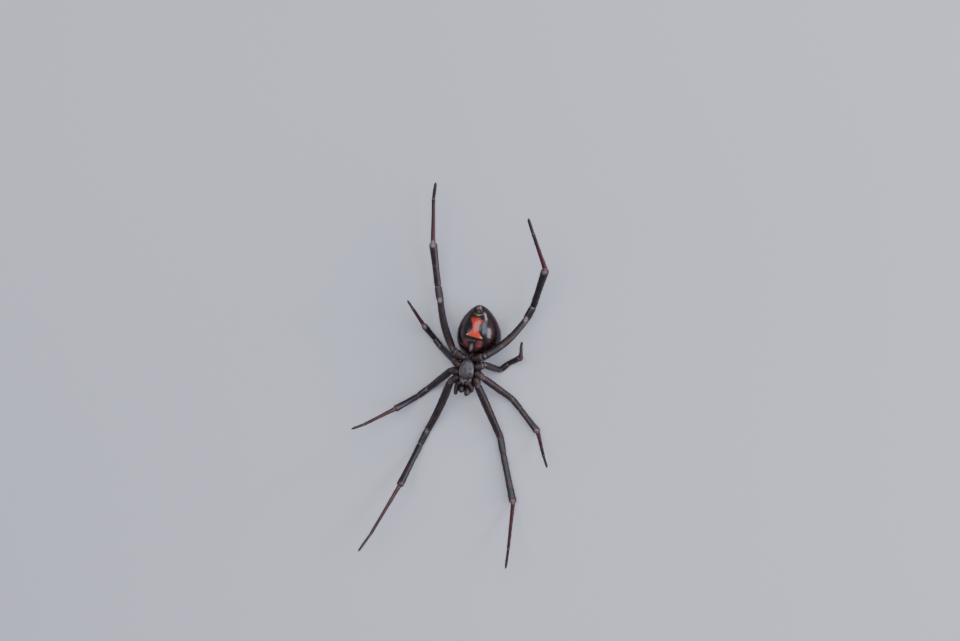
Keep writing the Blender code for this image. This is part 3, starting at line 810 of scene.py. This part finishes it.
# The back half becomes a flat foot, and the front half a fuller dome
reshape(lens, lambda point: point.z < -0.01, (0.92, 0.92, 0.55))
reshape(lens, lambda point: point.z > 0.3, (0.97, 0.97, 1.06), height=0.3)
ring_sizes = {"major_radius": MM, "minor_radius": 0.2 * MM, "major_segments": 32, "minor_segments": 12}
collar_ring = new_piece(bpy.ops.mesh.primitive_torus_add, "collar_ring", **ring_sizes)
# Its outer side slopes down to the head, and its crest is drawn in over the lens
reshape(collar_ring, lambda point: math.hypot(point.x, point.y) > 1.02, (1.12, 1.12, 1), lift=-0.16)
reshape(collar_ring, lambda point: point.z > 0.12, (0.97, 0.97, 1))
print("lens", len(lens.data.polygons), "faces, collar", len(collar_ring.data.polygons), "faces")

# %% Set the eight eyes
HEAD_CENTRE = on_head(2.95, 0, -1.25)
FRONT_EYE, OTHER_EYE, LENS_SUNK, COLLAR_SUNK = 0.102, 0.089, 0.035, 0.052


def placed_copy(pattern, name, where, way, size=1.0):
    """A copy with its own mesh, its +Z turned along a way, put at a place in mm and applied."""
    copy = pattern.copy()
    copy.data = pattern.data.copy()
    bpy.context.collection.objects.link(copy)
    copy.name = copy.data.name = name
    copy.rotation_mode = "QUATERNION"
    copy.rotation_quaternion = Vector(way).to_track_quat("Z", "Y")
    copy.location = Vector(where * MM)
    copy.scale = (size, size, size)
    deselect()
    copy.select_set(True)
    bpy.context.view_layer.objects.active = copy
    bpy.ops.object.transform_apply(location=True, rotation=True, scale=True)
    return copy


for node in sorted(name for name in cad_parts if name.startswith("eye_")):
    low, high = (np.array(corner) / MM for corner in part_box(node))
    middle = (low + high) / 2
    look = unit(middle - HEAD_CENTRE)
    size = FRONT_EYE if "anterior_median" in node else OTHER_EYE
    eye = placed_copy(lens, node.replace("eye_", "lens_"), middle - look * LENS_SUNK, look, size)
    home(eye, eye_glass, [node])
    name = node.replace("eye_", "eye_collar_")
    ring = placed_copy(collar_ring, name, middle - look * COLLAR_SUNK, look, size)
    home(ring, carapace_cuticle)
for pattern in (lens, collar_ring):
    bpy.data.objects.remove(pattern, do_unlink=True)

# %% [markdown]
# ## The finish of the legs
#
# A leg is one polished black tube with reddish brown where the cuticle is thin. The last but one
# joint is dark red and the foot almost black. At the inner side of each knee the hard tube is cut
# away, and pale folded skin shows. Each point of a leg carries its place from the body to the tip,
# which picks the colour from a ramp, and how much joint skin it shows. A third number, its distance
# along the leg, draws the fine pleats across that skin.

# %% Polished leg cuticle with pale joint skin
PLEAT_MM = 0.07
LEG_TONES = (
    (0.00, "#1c1314"), (0.14, "#231718"), (0.25, "#181012"), (0.30, "#161013"), (0.42, "#1c1113"),
    (0.50, "#131014"), (0.60, "#141217"), (0.70, "#15121a"), (0.725, "#461a1f"), (0.77, "#440f13"),
    (0.82, "#300c11"), (0.85, "#120b0f"), (0.92, "#191218"), (1.00, "#120f14"),
)
leg_cuticle, add, shader, place = new_finish("polished_black_leg_cuticle", IOR=1.56)
from_body, bare, run = (
    add("Attribute", {"attribute_name": name}, "Fac") for name in ("place", "membrane", "run")
)
colour = add("ValToRGB", {0: from_body, "stops": LEG_TONES})
# Red brown blotches a millimetre and a half across, and flecks of half a millimetre between them
blotch = add("TexNoise", {"Vector": place, "Scale": 700.0, "Detail": 3.0})
ruddy = add("MapRange", {"Value": blotch, "From Min": 0.50, "From Max": 0.70, "To Max": 0.75})
colour = add("Mix", {"data_type": "RGBA", 0: ruddy, 6: colour, 7: linear("#3f1f1c")}, 2)
flecks = add("TexNoise", {"Vector": place, "Scale": 1700.0, "Detail": 2.0})
flecked = add("MapRange", {"Value": flecks, "From Min": 0.54, "From Max": 0.68, "To Max": 0.7})
colour = add("Mix", {"data_type": "RGBA", 0: flecked, 6: colour, 7: linear("#4c2726")}, 2)
folds = add("TexNoise", {"Vector": place, "Scale": 9000.0, "Detail": 3.0})
skin = add("ValToRGB", {0: folds, "stops": ((0.3, "#6e5c60"), (0.7, "#a39094"))})
colour = add("Mix", {"data_type": "RGBA", 0: bare, 6: colour, 7: skin}, 2)
pleats = add("Math", {"operation": "MULTIPLY", 0: run, 1: 2 * math.pi / PLEAT_MM})
pleats = add("Math", {"operation": "SINE", 0: pleats})
pleats = add("Math", {"operation": "MULTIPLY", 0: pleats, 1: bare})
folds = add("Math", {"operation": "ADD", 0: folds, 1: pleats})
# Femora are duller than the outer parts, coxae and trochanters duller still, and so is bare skin
gloss = add("MapRange", {"Value": blotch, "To Min": 0.28, "To Max": 0.50})
near_body = add("MapRange", {"Value": from_body, "From Min": 0.30, "From Max": 0.24, "To Max": 0.6})
femora = add("MapRange", {"Value": from_body, "From Min": 0.44, "From Max": 0.40, "To Max": 0.6})
for share, dull in ((femora, 0.58), (near_body, 0.6), (bare, 0.55)):
    gloss = add("Mix", {0: share, 2: gloss, 3: dull})
relief = add("Bump", {"Height": folds, "Strength": 0.35, "Distance": 0.015 * MM})
feed(leg_cuticle, shader, Base_Color=colour, Roughness=gloss, Normal=relief)

# %% [markdown]
# ## The shape of a leg
#
# Coxa, trochanter, femur, patella, tibia, metatarsus and tarsus: seven tubes, each with its own
# swelling, narrow where it meets the next. The lengths and turns are those of the solids, so the
# skin lies on them. The path is rounded at each joint, and one tube with a ring every tenth of a
# millimetre follows it, thick and thin as the tables say.

# %% Sizes of the legs
# Femur, patella, tibia, metatarsus and tarsus
SEGMENT_LENGTHS = {
    1: (7.20, 1.95, 5.70, 6.50, 2.40),
    2: (5.15, 1.50, 3.30, 4.10, 1.50),
    3: (3.80, 1.25, 2.30, 2.75, 1.15),
    4: (6.40, 1.70, 5.10, 5.20, 1.85),
}
# Coxa with trochanter, femur, patella, tibia, metatarsus and tarsus
RADII = {
    1: (0.48, 0.46, 0.36, 0.36, 0.24, 0.16),
    2: (0.48, 0.41, 0.33, 0.33, 0.24, 0.155),
    3: (0.48, 0.38, 0.31, 0.31, 0.24, 0.155),
    4: (0.48, 0.43, 0.39, 0.39, 0.275, 0.20),
}
KNEE_HEIGHT = {1: 0.36, 2: 0.33, 3: 0.30}
FEMUR_BOW = {(4, "left"): 0.25, (4, "right"): -0.36, (1, "left"): 0.15}
# Where a leg leaves the body and where its trochanter ends: ahead, out and up
SOCKETS = {
    1: (2.60, 1.16, -0.22),
    2: (1.88, 1.24, -0.20),
    3: (1.02, 1.16, -0.20),
    4: (0.13, 0.87, -0.08),
}
TROCHANTERS = {
    (1, "left"): (3.12, 1.90, -0.50),
    (2, "left"): (1.78, 1.88, -0.50),
    (3, "left"): (0.58, 1.84, -0.50),
    (4, "left"): (-0.55, 1.92, 0.0),
    (1, "right"): (3.16, 1.33, -0.52),
    (2, "right"): (2.22, 1.84, -0.50),
    (3, "right"): (0.72, 1.84, -0.50),
    (4, "right"): (-0.33, 2.06, 0.25),
}
# The last pair of coxae meets behind the sternum, so these start further in than their solids
INNER_ROOT = {4: (0.10, 0.28, -0.16)}
# Heading and rise of femur, patella, tibia, metatarsus and tarsus; None rests the knee on the floor
LEG_ANGLES = {
    (1, "left"): ((-120, None), (-117, 2), (-112, 29), (-120, 8), (-123, 23)),
    (2, "left"): ((-147, None), (-144, 2), (-148, 34), (-152, 22), (-159, 29)),
    (3, "left"): ((145, -51), (127, 1), (124, 36), (117, 37), (117, 33)),
    (4, "left"): ((109, -23), (99, 3), (94, 14), (87, 12), (79, 16)),
    (1, "right"): ((-71, None), (-80, 2), (-78, 2), (-89, 37), (-92, 33)),
    (2, "right"): ((-41, None), (-51, 4), (-52, 2), (-67, 45), (-68, 27)),
    (3, "right"): ((-28, None), (38, 3), (23, 38), (71, 62), (63, 60)),
    (4, "right"): ((44, -22), (60, 5), (67, 27), (103, 36), (103, 29)),
}


def leg_corners(number, side):
    """Socket, trochanter's end and the far end of each of the five long parts, in mm."""
    sign = RIGHT_AND_LEFT[side]
    corners = []
    for ahead, out, up in (SOCKETS[number], TROCHANTERS[number, side]):
        corners.append(on_head(ahead, out * sign, up))
    for length, (turn, rise) in zip(SEGMENT_LENGTHS[number], LEG_ANGLES[number, side]):
        if rise is None:
            rise = -math.degrees(math.asin((corners[-1][2] - KNEE_HEIGHT[number]) / length))
        corners.append(corners[-1] + heading(turn, rise) * length)
    return np.array(corners)


for number, side in LEG_ANGLES:
    print("leg", number, side, "ends at", leg_corners(number, side)[-1].round(2), "mm")

# %% The path of a leg
# Rings are closer near a joint, and none is nearer to the last than the closest step
RING_STEP, JOINT_STEP, CLOSEST_STEP, JOINT_REACH = 0.11, 0.035, 0.018, 0.32
COXA_SUNK, ROOT_ROUNDING, TROCHANTER_PLACE = 0.45, 0.26, 0.66
# Reach of the bend at each joint from the trochanter on
JOINT_ROUNDING = {1: 0.30, 2: 0.30, 3: 0.30, 4: 0.30, 5: 0.2}


def leg_path(number, side):
    """The rings along a leg: distance, part of the leg, share of that part, place, and joints."""
    corners = leg_corners(number, side)
    parts = np.diff(corners, axis=0)
    lengths = np.linalg.norm(parts, axis=1)
    ways = parts / lengths[:, None]
    ends = np.r_[0, np.cumsum(lengths)]
    near_joints = ends[1:-1, None] + np.arange(-JOINT_REACH, JOINT_REACH + 0.01, JOINT_STEP)
    plain = np.r_[np.arange(-COXA_SUNK, -0.2, JOINT_STEP), np.arange(-0.2, ends[-1], RING_STEP)]
    marks = (ends[-1] - 0.04, ends[-1], ends[1] * TROCHANTER_PLACE)
    at = np.unique(np.r_[plain, marks, np.ravel(near_joints)].round(3))
    at = at[np.r_[True, np.diff(at) > CLOSEST_STEP]]
    part = np.clip(np.searchsorted(ends, at, side="right") - 1, 0, len(lengths) - 1)
    gone = at - ends[part]
    centre = corners[part] + ways[part] * gone[:, None]
    inner = corners[0] - ways[0] * COXA_SUNK
    if number in INNER_ROOT:
        ahead, out, up = INNER_ROOT[number]
        inner = on_head(ahead, out * RIGHT_AND_LEFT[side], up)
    sunk = at < 0
    centre[sunk] = corners[0] + spread(-at[sunk] / COXA_SUNK, inner - corners[0])
    # A femur may bow sideways in plan
    bow = FEMUR_BOW.get((number, side), 0.0) * unit(np.cross(UP, ways[1]))
    femur = part == 1
    centre[femur] += spread(np.sin(math.pi * gone[femur] / lengths[1]), bow)
    # Each joint is rounded over a short stretch, and the bow goes on into it
    for joint, reach in JOINT_ROUNDING.items():
        near = np.abs(at - ends[joint]) < reach
        t = ((at[near] - ends[joint]) / reach + 1) / 2
        bowed = bow * math.sin(math.pi * reach / lengths[1])
        before = corners[joint] - ways[joint - 1] * reach + (bowed if joint == 2 else 0)
        after = corners[joint] + ways[joint] * reach + (bowed if joint == 1 else 0)
        bend = spread((1 - t) ** 2, before) + spread(2 * t * (1 - t), corners[joint])
        centre[near] = bend + spread(t * t, after)
    return at, part, np.clip(gone / lengths[part], 0, 1), centre, ends


# %% [markdown]
# The tube then gets its joint skin. It shows on the belly side of each joint, sunk a little below
# the hard tube, and round the whole joint in a thin ring. How much of it shows depends on how a
# leg is turned, so each leg has its own shares.

# %% Build the legs
# Place along a part and share of its radius, from coxa with trochanter to tarsus
LEG_PROFILES = (
    (
        (0.0, 0.84), (0.15, 0.96), (0.45, 1.0), (0.58, 0.96), (0.64, 0.86), (0.66, 0.74), (0.69, 0.82),
        (0.78, 0.88), (0.92, 0.84), (0.98, 0.74), (1.0, 0.66),
    ),
    (
        (0.0, 0.64), (0.015, 0.82), (0.05, 0.93), (0.2, 1.02), (0.5, 1.0), (0.8, 0.91), (0.94, 0.88),
        (0.985, 0.91), (1.0, 0.80),
    ),
    ((0.0, 0.92), (0.05, 1.08), (0.35, 1.14), (0.7, 1.10), (0.95, 1.05), (1.0, 0.86)),
    (
        (0.0, 0.84), (0.02, 0.99), (0.1, 1.03), (0.35, 1.0), (0.6, 1.06), (0.82, 1.16), (0.93, 1.24),
        (0.985, 1.17), (1.0, 0.96),
    ),
    ((0.0, 0.94), (0.02, 1.08), (0.1, 1.0), (0.5, 0.84), (0.88, 0.76), (0.98, 0.82), (1.0, 0.66)),
    ((0.0, 0.86), (0.03, 0.98), (0.15, 1.0), (0.5, 1.0), (0.85, 0.93), (0.95, 0.78), (1.0, 0.42)),
)
# Joint skin at the end of the first five: reach along the leg in mm, reach round it in degrees, strength
JOINT_SKIN = ((0.09, 48, 0.55), (0.42, 38, 1.0), (0.13, 42, 0.65), (0.42, 44, 0.9), (0.08, 50, 0.5))
# How much of it each leg shows at knee, patella and ankle
SKIN_SHOWN = {
    (1, "left"): (0.45, 0.90, 0.12),
    (2, "left"): (0.35, 0.55, 0.12),
    (3, "left"): (0.45, 0.50, 0.60),
    (4, "left"): (1.00, 0.60, 1.00),
    (1, "right"): (0.22, 0.30, 0.75),
    (2, "right"): (0.30, 0.25, 0.80),
    (3, "right"): (0.40, 0.60, 0.20),
    (4, "right"): (1.00, 1.00, 0.60),
}
SKIN_SUNK = 0.03


def leg_skin(number, side):
    """One leg's skin, its path and the way its foot points."""
    at, part, share, centre, ends = leg_path(number, side)
    radius = np.empty(len(at))
    for k, profile in enumerate(LEG_PROFILES):
        places, shares = np.array(profile).T
        mine = part == k
        radius[mine] = RADII[number][k] * np.interp(share[mine], places, shares)
    rounded = np.clip((at + COXA_SUNK) / ROOT_ROUNDING, 0.02, 1)
    radius *= np.sqrt(1 - (1 - rounded) ** 2) * (0.85 + 0.15 * smoothstep(-COXA_SUNK, 0.0, at))
    # Sharp steps at the joints are eased by their neighbours
    radius[1:-1] = 0.25 * radius[:-2] + 0.5 * radius[1:-1] + 0.25 * radius[2:]
    piece = tube(f"leg_{number}_{side}_skin", centre, radius)
    points = read_points(piece)
    spokes = unit(points - np.repeat(centre, TUBE_SIDES, axis=0))
    # The turn of each point round its ring, from the belly side
    along = np.repeat(unit(np.gradient(centre, axis=0)), TUBE_SIDES, axis=0)
    belly = unit(UP - along[:, 2:] * along)
    turned = np.degrees(np.arccos(np.clip((spokes * belly).sum(1), -1, 1)))
    stations = np.repeat(at, TUBE_SIDES)
    bare = 0.6 * smoothstep(0.07, 0.02, np.abs(stations - ends[1] * TROCHANTER_PLACE))
    shown = (0.8, *SKIN_SHOWN[number, side], 0.8)
    for end, (length, angle, strength), seen in zip(ends[1:], JOINT_SKIN, shown):
        gap = np.abs(stations - end)
        patch = smoothstep(1.15, 0.75, np.hypot(gap / length, turned / angle))
        bare = np.maximum(bare, strength * seen * np.maximum(patch, 0.45 * smoothstep(0.06, 0.02, gap)))
    points -= SKIN_SUNK * bare[:, None] * spokes
    points[:, 2] = np.maximum(points[:, 2], 0)
    write_points(piece, points)
    # Coxa and trochanter are one part here and two of the seven on the ramp
    keep_value(piece, "place", np.repeat((part + share + np.where(part > 0, 1, share)) / 7, TUBE_SIDES))
    keep_value(piece, "membrane", bare)
    keep_value(piece, "run", stations)
    nodes = [f"leg_{number}_{side}_{name}" for name in ("coxa", "femur", "tibia", "metatarsus")]
    way = heading(*LEG_ANGLES[number, side][-1])
    return home(piece, leg_cuticle, nodes), centre[-1], way


legs = {key: leg_skin(*key) for key in LEG_ANGLES}

# %% [markdown]
# ## Palps
#
# A female's palps are two small slim legs beside the jaws. They share the shape tools of the legs
# and the red brown cuticle of the mouthparts.

# %% Build the palps
PALPS = {
    "left": (
        (2.74, 0.42, 0.02, 0.14),
        (2.92, 0.48, 0.05, 0.22),
        (3.16, 0.70, 0.06, 0.24),
        (3.50, 0.99, -0.14, 0.27),
        (4.02, 1.06, -0.26, 0.26),
        (4.38, 0.99, -0.06, 0.19),
        (4.50, 0.96, 0.02, 0.06),
    ),
    "right": (
        (2.74, 0.42, 0.02, 0.14),
        (2.92, 0.46, 0.06, 0.21),
        (3.18, 0.58, 0.12, 0.23),
        (3.44, 0.79, 0.10, 0.25),
        (3.72, 0.84, 0.00, 0.25),
        (3.94, 0.77, -0.05, 0.18),
        (4.05, 0.73, -0.07, 0.06),
    ),
}
# Narrow joints after the trochanter, femur, patella and tibia, each with a swelling before it
PALP_JOINTS = (1.15, 2.75, 3.35, 4.15)
for side, sign in RIGHT_AND_LEFT.items():
    path, radius, at = limb_path(PALPS[side], sign, 0, 24)
    for joint in PALP_JOINTS:
        radius = radius * (1 - 0.20 * ridge(at - joint, 0.05))
        radius = radius * (1 + 0.05 * ridge(at - joint + 0.14, 0.10))
    palp = tube(f"palp_{side}", path, radius)
    mouth_skins.append(home(palp, jaw_cuticle, [f"pedipalp_{side}"]))

# %% [markdown]
# ## Claws
#
# Each foot ends in three hooks, two large ones side by side and a small one between them. One set
# is modelled as three curved, tapering tubes, and each foot gets its own copy, turned along it.

# %% Model one set of claws and copy it to each foot
# Length, radius and place aside
CLAWS = ((0.20, 0.028, 0.035), (0.20, 0.028, -0.035), (0.12, 0.018, 0.0))
bend = np.linspace(0, 1, 9)
hooks = []
for length, radius, aside in CLAWS:
    path = np.c_[aside + 0.3 * aside * bend, length * 0.55 * bend**2, length * bend]
    hooks.append(tube("claw", path, radius * (1 - bend) ** 0.7 + 0.004, 8))
claw_set = joined(hooks, "claw_set")
for (number, side), (skin, foot, way) in legs.items():
    claws = placed_copy(claw_set, f"claws_{number}_{side}", foot - way * 0.03, way)
    home(claws, claw_finish)
bpy.data.objects.remove(claw_set, do_unlink=True)

# %% [markdown]
# ## Bristles
#
# Fine bristles cover a widow, thickest on the legs, and soften its outline. Each is a real solid:
# a bent three sided spike with its root sunk in the skin. They are drawn at random points of a
# skin, with the draw seeded, lie along the piece, and stand up by some thirty degrees. Hundreds of
# separate objects would be slow, so a skin's bristles are one mesh made from arrays. Real ones are
# too fine to show in the picture, so these are about twice as thick.

# %% Choose the roots of bristles on a skin
bristle_finish, add, shader, place = new_finish("dark_brown_bristle", Roughness=0.4, IOR=1.55)
shade = add("TexNoise", {"Vector": place, "Scale": 3000.0})
browns = add("ValToRGB", {0: shade, "stops": ((0, "#120d0d"), (1, "#33231f"))})
feed(bristle_finish, shader, Base_Color=browns)


def roots(skin, count, draw, keep):
    """Root points in mm with their outward way, the way along the skin, and their place on its unwrap."""
    mesh = skin.data
    mesh.calc_loop_triangles()
    corners = read(mesh.loop_triangles, "vertices", 3, int)
    loops = read(mesh.loop_triangles, "loops", 3, int)
    points = read_points(skin)
    a, b, c = (points[corners[:, k]] for k in range(3))
    area = np.linalg.norm(np.cross(b - a, c - a), axis=1)
    if keep is not None:
        area = area * keep((a + b + c) / 3)
    chosen = draw.choice(len(area), count, p=area / area.sum())
    weights = draw.dirichlet((1, 1, 1), count)[..., None]
    normals = read(mesh.vertices, "normal", 3)
    lies = read(mesh.attributes["lie"].data, "vector", 3)
    unwrap = read(mesh.uv_layers[0].data, "uv", 2)
    root, up, lie = ((values[corners[chosen]] * weights).sum(1) for values in (points, normals, lies))
    up = unit(up)
    lie = unit(lie - (lie * up).sum(1)[:, None] * up)
    return root, up, lie, (unwrap[loops[chosen]] * weights).sum(1)


# %% Grow a coat of bristles
# The six corners and the tip of a spike, as faces and as spots round its root on the unwrap
QUADS = np.array([(0, 1, 4, 3), (1, 2, 5, 4), (2, 0, 3, 5)])
TRIANGLES = np.array([(3, 4, 6), (4, 5, 6), (5, 3, 6), (2, 1, 0)])
SPOTS = np.array([(0, 1), (0.87, -0.5), (-0.87, -0.5), (0, 0.6), (0.5, -0.3), (-0.5, -0.3), (0, 0)])
SPOT_REACH = 0.0015
# How far bristles stray from the skin's way and from their lift, in degrees, and in length
YAW_STRAY, LIFT_STRAY, LENGTH_STRAY = 16, 7, (0.65, 1.25)
# Depth of the root in mm, and where a bristle bends and how thick it is there
ROOT_DEPTH, BEND_AT, BEND_THICK = 0.03, 0.55, 0.7


def bristles(name, skin, count, length, thick, seed, lift, keep):
    """Grows bristles of about that length and root radius in mm over a skin."""
    draw = np.random.default_rng(seed)
    root, up, lie, patch = roots(skin, count, draw, keep)
    yaw = np.radians(draw.normal(0, YAW_STRAY, count))[:, None]
    lie = lie * np.cos(yaw) + np.cross(up, lie) * np.sin(yaw)
    stand = np.radians(draw.normal(lift, LIFT_STRAY, count))[:, None]
    first = lie * np.cos(stand) + up * np.sin(stand)
    last = unit(first * 0.75 + lie * 0.5)
    size = (length * draw.uniform(*LENGTH_STRAY, count))[:, None]
    base = root - first * ROOT_DEPTH
    middle = base + first * size * BEND_AT
    across = unit(np.cross(first, up))
    over = np.cross(first, across)
    spikes = []
    for centre, share in ((base, 1.0), (middle, BEND_THICK)):
        for angle in (0, 2 * math.pi / 3, 4 * math.pi / 3):
            spoke = across * math.cos(angle) + over * math.sin(angle)
            spikes.append(centre + spoke * thick * share)
    spikes = np.stack([*spikes, middle + last * size * (1 - BEND_AT)], axis=1).reshape(-1, 3)
    spikes[:, 2] = np.maximum(spikes[:, 2], 0.001)
    starts = (np.arange(count) * len(SPOTS))[:, None, None]
    faces = []
    for pattern in (QUADS, TRIANGLES):
        faces += (starts + pattern).reshape(-1, pattern.shape[1]).tolist()
    mesh = bpy.data.meshes.new(name)
    mesh.from_pydata((spikes * MM).tolist(), [], faces)
    spots = (patch[:, None] + SPOTS * SPOT_REACH).reshape(-1, 2)
    spots = np.clip(spots[read(mesh.loops, "vertex_index", 1, int).ravel()], 0, 1)
    mesh.uv_layers.new(name="OFBake").data.foreach_set("uv", spots.ravel())
    coat = bpy.data.objects.new(name, mesh)
    bpy.context.collection.objects.link(coat)
    home(coat, bristle_finish)


# %% Cover the spider
BRISTLE_RADIUS, DOWN_RADIUS, DOWN_SHARE = 0.011, 0.006, 0.55
# Bristles and down on each millimetre of a leg, and the height below which nothing grows
LEG_BRISTLES, LEG_DOWN, BARE_BELOW = 20, 55, 0.4


def hair_and_down(skin, name, slot, bristle_count, down_count, length, seed, lift=32, keep=None):
    """Gives a skin its stiff bristles and, between them, shorter and finer down."""
    bristles(f"{name}_bristles", skin, bristle_count, length, BRISTLE_RADIUS, seed, lift, keep)
    bristles(f"{name}_down", skin, down_count, length * DOWN_SHARE, DOWN_RADIUS, seed + 50, lift, keep)


def off_floor(middles):
    return (middles[:, 2] > BARE_BELOW).astype(float)


for (number, side), (skin, foot, way) in legs.items():
    run = sum(SEGMENT_LENGTHS[number])
    seed = 100 * number + (side == "left")
    name = f"leg_{number}_{side}"
    counts = int(run * LEG_BRISTLES), int(run * LEG_DOWN)
    hair_and_down(skin, name, "leg", *counts, 0.30, seed, keep=off_floor)
hair_and_down(abdomen, "abdomen", "abdomen", 900, 3000, 0.20, 7, 22, off_floor)
hair_and_down(carapace, "carapace", "cephalothorax", 240, 700, 0.20, 11, 40)
hair_and_down(sternum, "sternum", "cephalothorax", 90, 260, 0.22, 12, 35)
hair_and_down(spinnerets, "spinnerets", "spinneret", 120, 420, 0.16, 13, 45)
for seed, skin in enumerate(mouth_skins, start=20):
    hair_and_down(skin, skin.name, "mouth", 60, 160, 0.18, seed, 40)

# %% [markdown]
# ## The comb on the hind feet
#
# Widows belong to the comb footed spiders: a row of stiff, curved bristles runs under each hind
# foot. The teeth are short tubes along the last part of leg four, each bent towards the tip.

# %% Comb bristles
# Points of a tooth below and along the foot, and its radius there
TOOTH_BELOW, TOOTH_ALONG = (0.0, 0.08, 0.12, 0.12), (0.0, 0.05, 0.14, 0.22)
TOOTH_RADII = (0.016, 0.013, 0.009, 0.003)
# The row's first and last tooth as shares of the foot's length, and how many there are
COMB_ROW = (0.12, 0.92, 16)
for side in RIGHT_AND_LEFT:
    ankle, tip = leg_corners(4, side)[5:]
    way = unit(tip - ankle)
    below = np.cross(unit(np.cross(way, UP)), way)
    teeth = []
    for step in np.linspace(*COMB_ROW):
        foot = ankle + (tip - ankle) * step + below * RADII[4][-1] * (1 - 0.1 * step) * 0.8
        path = foot + spread(TOOTH_BELOW, below) + spread(TOOTH_ALONG, way)
        teeth.append(tube("comb_tooth", path, TOOTH_RADII, 6))
    home(joined(teeth, f"comb_{side}"), bristle_finish)

# %% [markdown]
# ## Floor, light and camera
#
# The floor is a plain pale board. Glossy black shows only what it mirrors, so the lamps are large
# soft panels: one overhead that puts a grey line along each leg, three at the animal's right that
# draw the pale patches on the side of the abdomen, and a weak one at the left. The camera looks
# straight down the photograph's way, ten degrees off the vertical, from so far that the small
# animal is seen almost without perspective.

# %% Floor
floor = new_piece(bpy.ops.mesh.primitive_plane_add, "floor", size=1.6)
edit(floor)
bpy.ops.mesh.select_all(action="SELECT")
bpy.ops.mesh.subdivide(number_cuts=4)
bpy.ops.object.mode_set(mode="OBJECT")
board, add, shader, place = new_finish("matt_pale_board", Roughness=0.8, Specular_IOR_Level=0.2)
soft = add("TexNoise", {"Vector": place, "Scale": 12.0, "Detail": 1.0})
feed(board, shader, Base_Color=add("ValToRGB", {0: soft, "stops": ((0, "#c9cad6"), (1, "#d3d3dd"))}))
floor.data.materials.append(board)

# %% Lights
# Name, turn, rise, distance, width and height in mm, watts and colour
PANELS = (
    ("overhead_panel", 95, 78, 620, 500, 380, 1.8, "#ffffff"),
    ("right_panel", -10, 15, 420, 225, 165, 0.85, "#fbeff4"),
    ("upper_right_panel", 6, 45, 420, 290, 220, 0.75, "#dde6fb"),
    ("small_right_panel", 34, 21, 420, 90, 110, 0.35, "#ffffff"),
    ("left_fill", 185, 45, 600, 200, 300, 0.25, "#ffffff"),
)
world = bpy.data.worlds.new("soft_studio")
bpy.context.scene.world = world
world.use_nodes = True
world.node_tree.nodes["Background"].inputs["Color"].default_value = linear("#c9ccd8")
world.node_tree.nodes["Background"].inputs["Strength"].default_value = 0.5
for name, turn, rise, far, wide, tall, watts, code in PANELS:
    spot = Vector(heading(turn, rise) * far * MM)
    lamp = new_piece(bpy.ops.object.light_add, name, type="AREA", location=spot)
    lamp.data.shape = "RECTANGLE"
    lamp.data.size, lamp.data.size_y = wide * MM, tall * MM
    lamp.data.energy = watts
    lamp.data.color = linear(code)[:3]
    lamp.rotation_euler = spot.to_track_quat("Z", "Y").to_euler()
print(len(PANELS), "panels")

# %% Camera
TILT, CAMERA_FAR = math.radians(10), 460
AIM = Vector((-0.2947, 2.0737, 0.0))
eye_point = (AIM + Vector((math.sin(TILT), 0, math.cos(TILT))) * CAMERA_FAR) * MM
camera = new_piece(bpy.ops.object.camera_add, "Camera", location=eye_point)
camera.rotation_euler = (0, TILT, 0)
camera.data.lens = 150
camera.data.sensor_width = 36
camera.data.clip_start = 0.01
camera.data.dof.use_dof = False
bpy.context.scene.camera = camera
print("camera at", tuple(round(v, 4) for v in camera.location))
